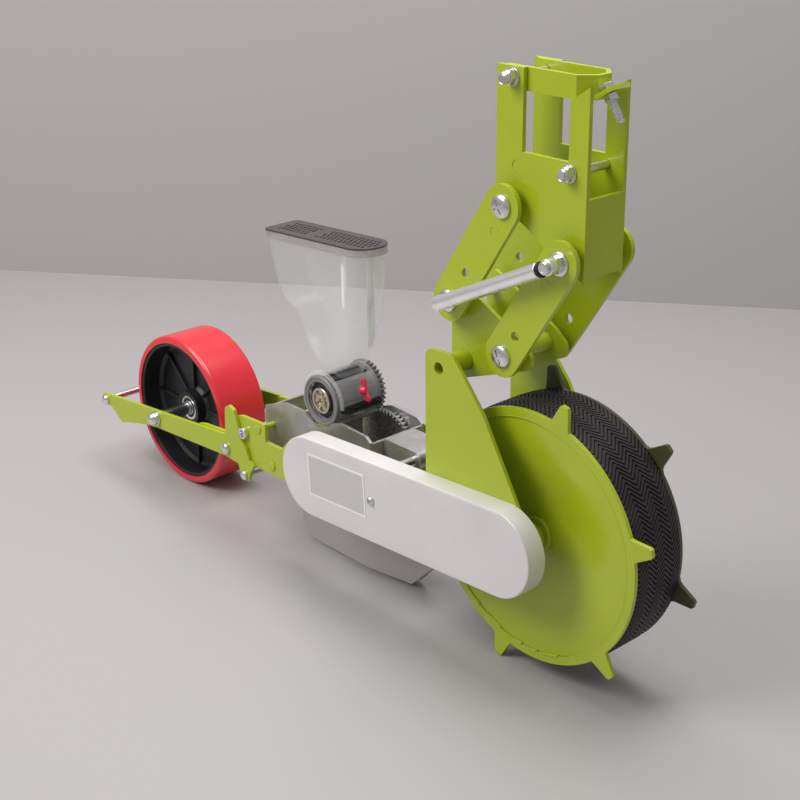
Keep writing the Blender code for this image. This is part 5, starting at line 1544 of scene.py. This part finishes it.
# ---------------------------------------------------------------- frame trim
@dataclass
class FrameTrim:
    """The shoe, the tube between the ears, the axle's bearings and small weld marks."""

    ear: Point = (-0.1136, 0.3470)
    axle: Point = field(default_factory=lambda: anchor("drive_wheel_spin"))
    tube_half: float = 0.0657
    tube_radius: float = 0.012
    tube_bore: float = 0.007
    bearing_radius: float = 0.016
    bearing_bore: float = 0.0083
    race_width: float = 0.0022
    shield_dip: float = 0.0007

    def build(self) -> None:
        """Builds the trim."""
        shoe = Bench.refined("opener_shoe", "opener_shoe_sheet", 0.0006)
        hand_over(shoe, "frame", Finishes.SHEET, "opener_shoe")
        self.cross_tube()
        for name in ("near_axle_bearing", "far_axle_bearing"):
            self.bearing(name)
        self.ear_welds()
        self.marks()

    def cross_tube(self) -> None:
        """The tube that joins the ears."""
        half, r, chamfer = self.tube_half, self.tube_radius, 0.0006
        profile = [(self.tube_bore, -half), (r - chamfer, -half), (r, chamfer - half), (r, half - chamfer),
                   (r - chamfer, half), (self.tube_bore, half)]
        tube = Bench.lathe("ear_cross_tube", profile, self.ear, 48, EDGE)
        hand_over(tube, "frame", Finishes.LIME, "ear_tube")

    def bearing(self, name: str) -> None:
        """One of the axle's ball bearings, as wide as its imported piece."""
        low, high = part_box(name)
        y0, y1 = low.y - AXLE.y, high.y - AXLE.y
        outer, inner, width, dip = self.bearing_radius, self.bearing_bore, self.race_width, self.shield_dip
        edge = width + EDGE
        profile = [(inner, y0), (inner + width, y0), (inner + edge, y0 + dip), (outer - edge, y0 + dip),
                   (outer - width, y0), (outer, y0), (outer, y1), (outer - width, y1),
                   (outer - edge, y1 - dip), (inner + edge, y1 - dip), (inner + width, y1), (inner, y1)]
        race = Bench.lathe(f"{name}_turned", profile, self.axle, 64, FINE)
        hand_over(race, "frame", Finishes.CHROME, name)

    def ear_welds(self) -> None:
        """A bead round each end of the cross tube."""
        beads = []
        for side in (-1, 1):
            ring = arc(self.ear, self.tube_radius + 0.0005, 0, math.tau, 28)
            beads.append(Bench.tube("ear_weld", [(x, side * (self.tube_half - EDGE), z) for x, z in ring],
                                    0.0014))
        hand_over(Bench.join("ear_welds", beads), "frame", Finishes.LIME)

    @staticmethod
    def marks() -> None:
        """Small raised crescents on the near cheek and on two of the near arms."""
        for name, body, place, radius, start, end, steps, y, thickness in (
                ("cheek_mark", "head", (-0.040, 0.5795), 0.0065, 115, 250, 12, -0.0301, 0.0007),
                ("rear_arm_mark", "link_rear", (-0.0560, 0.5090), 0.0062, 20, 290, 20, -0.0450, 0.0006),
                ("front_arm_mark", "link_front", (0.0170, 0.4685), 0.0062, 20, 290, 20, -0.0450, 0.0006)):
            line = arc(place, radius, math.radians(start), math.radians(end), steps)
            hand_over(Bench.tube(name, [(x, y, z) for x, z in line], thickness), body, Finishes.LIME)


# ---------------------------------------------------------------- strut and gate screw
@dataclass
class SpringStrut:
    """The bright telescopic strut between the rear arms' foot and the front arms' top."""

    foot: Vector = field(default_factory=lambda: in_plane(anchor("linkage_fold")))
    offset: float = -0.060
    radius: float = 0.0085
    mouth_bore: float = 0.0046
    mouth_wall: float = 0.006
    bore: float = 0.007
    foot_end: float = -0.003
    floor: float = 0.0025
    mouth_reach: float = 0.014
    wiper_height: float = 0.0035
    rod: float = 0.004
    piston: tuple[float, float, float] = (0.0066, 0.020, 0.026)
    eye_radius: float = 0.0088
    eye_bore: float = 0.0046
    eye_half: float = 0.005
    link_face: float = 0.0453
    pin: float = 0.0057

    @staticmethod
    def top() -> Vector:
        """The pivot at the front arms' top."""
        rear, front, head = (anchor(name) for name in ("linkage_fold", "front_link_fold", "head_level"))
        return Vector((front[0] + head[0] - rear[0], 0, front[1] + head[1] - rear[1]))

    def build(self) -> None:
        """Builds the tube, the rod with its eye, the wiper and the stud bolt."""
        top = self.top()
        along = top - self.foot
        turn = Matrix.Rotation(math.atan2(along.x, along.z), 4, "Y")
        placing = Matrix.Translation((self.foot.x, self.offset, self.foot.z)) @ turn
        centre, mouth = (top.x, top.z), along.length - self.mouth_reach
        self.tube(placing, mouth)
        self.wiper(placing, mouth + GAP)
        self.bar(placing, along.length - 0.0075, centre)
        self.stud(centre)

    def tube(self, placing: Matrix, mouth: float) -> None:
        """The outer tube, closed at its foot."""
        r, low, chamfer = self.radius, self.foot_end, 0.0006
        profile = [(0, low + self.floor), (r - 0.0020, low + self.floor), (r - 0.0022, low),
                   (r - chamfer, low),
                   (r, low + chamfer), (r, mouth - chamfer), (r - chamfer, mouth), (self.mouth_bore, mouth),
                   (self.mouth_bore, mouth - self.mouth_wall), (self.bore, mouth - self.mouth_wall),
                   (self.bore, low + 2 * self.floor), (0, low + 2 * self.floor)]
        tube = Bench.lathe("strut_tube_polished", profile, steps=72, soft=FINE, placing=placing)
        hand_over(tube, "strut_outer", Finishes.CHROME, "strut_tube")

    def wiper(self, placing: Matrix, start: float) -> None:
        """The black ring on the rod, at the tube's mouth."""
        r, bore, end = self.radius, self.rod + FINE, start + self.wiper_height
        profile = [(bore, start), (r - 0.0004, start), (r, start + 0.0006), (r, end - 0.0007),
                   (r - 0.0008, end),
                   (bore, end)]
        collar = Bench.lathe("strut_wiper", profile, steps=64, soft=FINE, placing=placing)
        hand_over(collar, "strut_inner", Finishes.BLACK)

    def bar(self, placing: Matrix, end: float, centre: Point) -> None:
        """The rod with its piston and its eye."""
        piston, low, high = self.piston
        profile = [(0, low), (piston, low), (piston, high), (self.rod, high), (self.rod, end), (0, end)]
        bar = Bench.lathe("bar", profile, steps=40, soft=EDGE, placing=placing)
        near, far = self.offset - self.eye_half, self.offset + self.eye_half
        rim, chamfer = self.eye_radius, 0.001
        ring = [(self.eye_bore, near), (rim - chamfer, near), (rim, near + chamfer), (rim, far - chamfer),
                (rim - chamfer, far), (self.eye_bore, far)]
        eye = Bench.lathe("eye", ring, centre, 56, EDGE)
        hand_over(Bench.join("strut_rod_with_eye", [bar, eye]), "strut_inner", Finishes.CHROME, "strut_rod")

    def stud(self, centre: Point) -> None:
        """The pivot bolt at the top, which runs on outward through the strut's eye."""
        out = self.link_face
        near, eye_in = self.offset - self.eye_half - GAP, self.offset + self.eye_half + GAP
        nut_size, nut_height = 0.018, 0.010
        bolt = Bolt("pivot_bolt_b", "head", centre, self.pin, out, Head.NUT, 0.016, 0.009, nut_size,
                    nut_height)
        pieces = bolt.ends(1, Head.NUT, nut_size, nut_height)
        pieces.append(bolt.thread(out + nut_height, out + nut_height + 0.003))
        washer = [(0, -out), (0.013, -out), (0.0128, -out - 0.0014), (0.0118, -out - 0.002),
                  (0, -out - 0.002)]
        pieces.append(Bench.lathe("washer", washer, centre, 56, FINE))
        pieces.append(Bench.plate("nut", [hexagon(centre, 0.016)], eye_in - FINE, -out - 0.0022, 0.0004))
        shank = [(0, near - 0.0035), (self.rod, near - 0.0035), (self.rod, eye_in), (self.pin, eye_in),
                 (self.pin, out), (0, out)]
        pieces.append(Bench.lathe("shank", shank, centre, 40, FINE))
        steps = ((0, 0), (0.0072, 0), (0.0072, 0.0026), (0.0060, 0.0038), (0.0040, 0.0040), (0.0036, 0.0030),
                 (0, 0.0030))
        cap = [(radius, near - height) for radius, height in steps]
        pieces.append(Bench.lathe("cap", cap, centre, 48, FINE))
        hand_over(Bench.join("pivot_bolt_b_detailed", pieces), "head", Finishes.ZINC, "pivot_bolt_b")


@dataclass
class GateScrew:
    """The set screw through the gate's slanting tab."""

    tab: Point = (0.0585, 0.6655)
    rise: float = math.radians(32)
    side: float = -0.007
    shank: float = 0.004
    grip: float = 0.0028
    flats: float = 0.013
    head_height: float = 0.005
    nut_height: float = 0.007
    pitch: float = 0.00125
    turns: int = 17
    reach: float = 0.030

    def build(self) -> None:
        """Builds the head, the nut and the thread."""
        turn = Matrix.Rotation(math.pi - self.rise, 4, "Y")
        placing = (Matrix.Translation((self.tab[0], 0, self.tab[1])) @ turn
                   @ Matrix.Translation((0, self.side, 0)))
        six = hexagon((0, 0), self.flats)
        grip, r = self.grip, self.shank
        start, end = grip + self.nut_height, grip + self.reach
        head = Bench.plate("head", [six], -grip - self.head_height, -grip, SOFT, placing)
        nut = Bench.plate("nut", [six], grip, start, 0.0006, placing)
        profile = [(0, -grip), (r, -grip), (r, start)]
        for i in range(self.turns):
            profile += [(r * 0.86, start + (i + 0.5) * self.pitch), (r, start + (i + 1) * self.pitch)]
        profile += [(r, end - 0.001), (r - 0.001, end), (0, end)]
        shank = Bench.lathe("shank", profile, steps=32, soft=0, placing=placing)
        screw = Bench.join("gate_set_screw_detailed", [head, nut, shank])
        hand_over(screw, "gate", Finishes.ZINC, "gate_set_screw")


# ---------------------------------------------------------------- studio
@dataclass
class Studio:
    """Camera, lamps, floor and backdrop."""

    eye: tuple[float, float, float] = (1.00226, -1.12622, 0.94737)
    yaw: float = math.radians(48.19)
    pitch: float = math.radians(22.54)
    roll: float = math.radians(-0.66)
    lens: float = 67.5
    wall_feet: tuple[Point, ...] = ((-1.8086, 0.2638), (-0.506, 1.2504))
    wall_width: float = 6.0
    wall_height: float = 1.7

    def build(self) -> None:
        """Sets up everything that isn't part of the object."""
        self.camera()
        self.world()
        self.lamp("key_panel", (-0.9, -1.9, 2.3), (-0.1, 0, 0.2), 1.6, 60)
        self.lamp("top_panel", (0.2, 0.3, 2.4), (0, 0, 0.1), 1.2, 34)
        self.lamp("back_panel", (-0.95, 0.5, 2.2), (0, 0, 0.3), 1.0, 10)
        self.floor()
        self.wall()
        scene = bpy.context.scene
        scene.view_settings.view_transform = "Standard"

    def camera(self) -> None:
        """The camera at the viewing angle."""
        data = bpy.data.cameras.new("camera")
        data.lens = self.lens
        data.sensor_width = 36
        camera = bpy.data.objects.new("camera", data)
        bpy.context.scene.collection.objects.link(camera)
        ahead = Vector((-math.sin(self.yaw) * math.cos(self.pitch), math.cos(self.yaw) * math.cos(self.pitch),
                        -math.sin(self.pitch)))
        level = Vector((math.cos(self.yaw), math.sin(self.yaw), 0))
        upright = level.cross(ahead)
        right = level * math.cos(self.roll) + upright * math.sin(self.roll)
        up = right.cross(ahead)
        turn = Matrix((right, up, -ahead)).transposed().to_4x4()
        camera.matrix_world = FIT @ Matrix.Translation(self.eye) @ turn
        bpy.context.scene.camera = camera

    @staticmethod
    def world() -> None:
        """An even grey sky."""
        world = bpy.data.worlds.new("studio")
        world.use_nodes = True
        background = world.node_tree.nodes["Background"]
        background.inputs["Color"].default_value = (0.80, 0.80, 0.82, 1)
        background.inputs["Strength"].default_value = 0.46
        bpy.context.scene.world = world

    @staticmethod
    def lamp(name: str, place: tuple, target: tuple, size: float, power: float) -> None:
        """A square soft panel that faces a target."""
        data = bpy.data.lights.new(name, "AREA")
        data.size = size
        data.energy = power
        lamp = bpy.data.objects.new(name, data)
        bpy.context.scene.collection.objects.link(lamp)
        lamp.location = place
        lamp.rotation_euler = (Vector(target) - Vector(place)).to_track_quat("-Z", "Y").to_euler()

    @staticmethod
    def floor() -> None:
        """A plain pale floor."""
        material = bpy.data.materials.new("studio_floor")
        graph = Graph(material)
        graph.surface({"Base Color": (0.395, 0.375, 0.372, 1), "Roughness": 0.42})
        Bench.pick()
        bpy.ops.mesh.primitive_plane_add(size=14)
        floor = bpy.context.object
        floor.name = "floor"
        floor.data.materials.append(material)

    def wall(self) -> None:
        """The wall, which stands on the line between its two feet."""
        material = bpy.data.materials.new("studio_wall")
        graph = Graph(material)
        paint = graph.node("ShaderNodeBsdfDiffuse", None, {"Color": (0.42, 0.40, 0.39, 1)})("BSDF")
        clear = graph.node("ShaderNodeBsdfTransparent")("BSDF")
        behind = graph.node("ShaderNodeNewGeometry")("Backfacing")
        mixed = graph.node("ShaderNodeMixShader", None, {0: behind, 1: paint, 2: clear})("Shader")
        graph.node("ShaderNodeOutputMaterial", None, {"Surface": mixed})
        left, right = (Vector((x, y, 0)) for x, y in self.wall_feet)
        along = (right - left).normalized()
        middle = (left + right) / 2 + Vector((0, 0, self.wall_height / 2))
        turn = Matrix((along, Vector((0, 0, 1)), along.cross(Vector((0, 0, 1))))).transposed().to_4x4()
        Bench.pick()
        bpy.ops.mesh.primitive_plane_add(size=1)
        wall = bpy.context.object
        wall.name = "wall"
        size = Matrix.Diagonal((self.wall_width, self.wall_height, 1, 1))
        wall.matrix_world = FIT @ Matrix.Translation(middle) @ turn @ size
        wall.data.materials.append(material)


def main() -> None:
    """Builds the sub-assemblies in order."""
    logging.basicConfig(level=logging.INFO, format="%(name)s: %(message)s")
    Studio().build()
    DriveWheel().build()
    ChainCover().build()
    PlateWork().build()
    BoltSet().build()
    PressWheel().build()
    PressAxle().build()
    SeedHopper().build()
    SeedMeter().build()
    FrameTrim().build()
    SpringStrut().build()
    GateScrew().build()


if __name__ == "__main__":
    main()
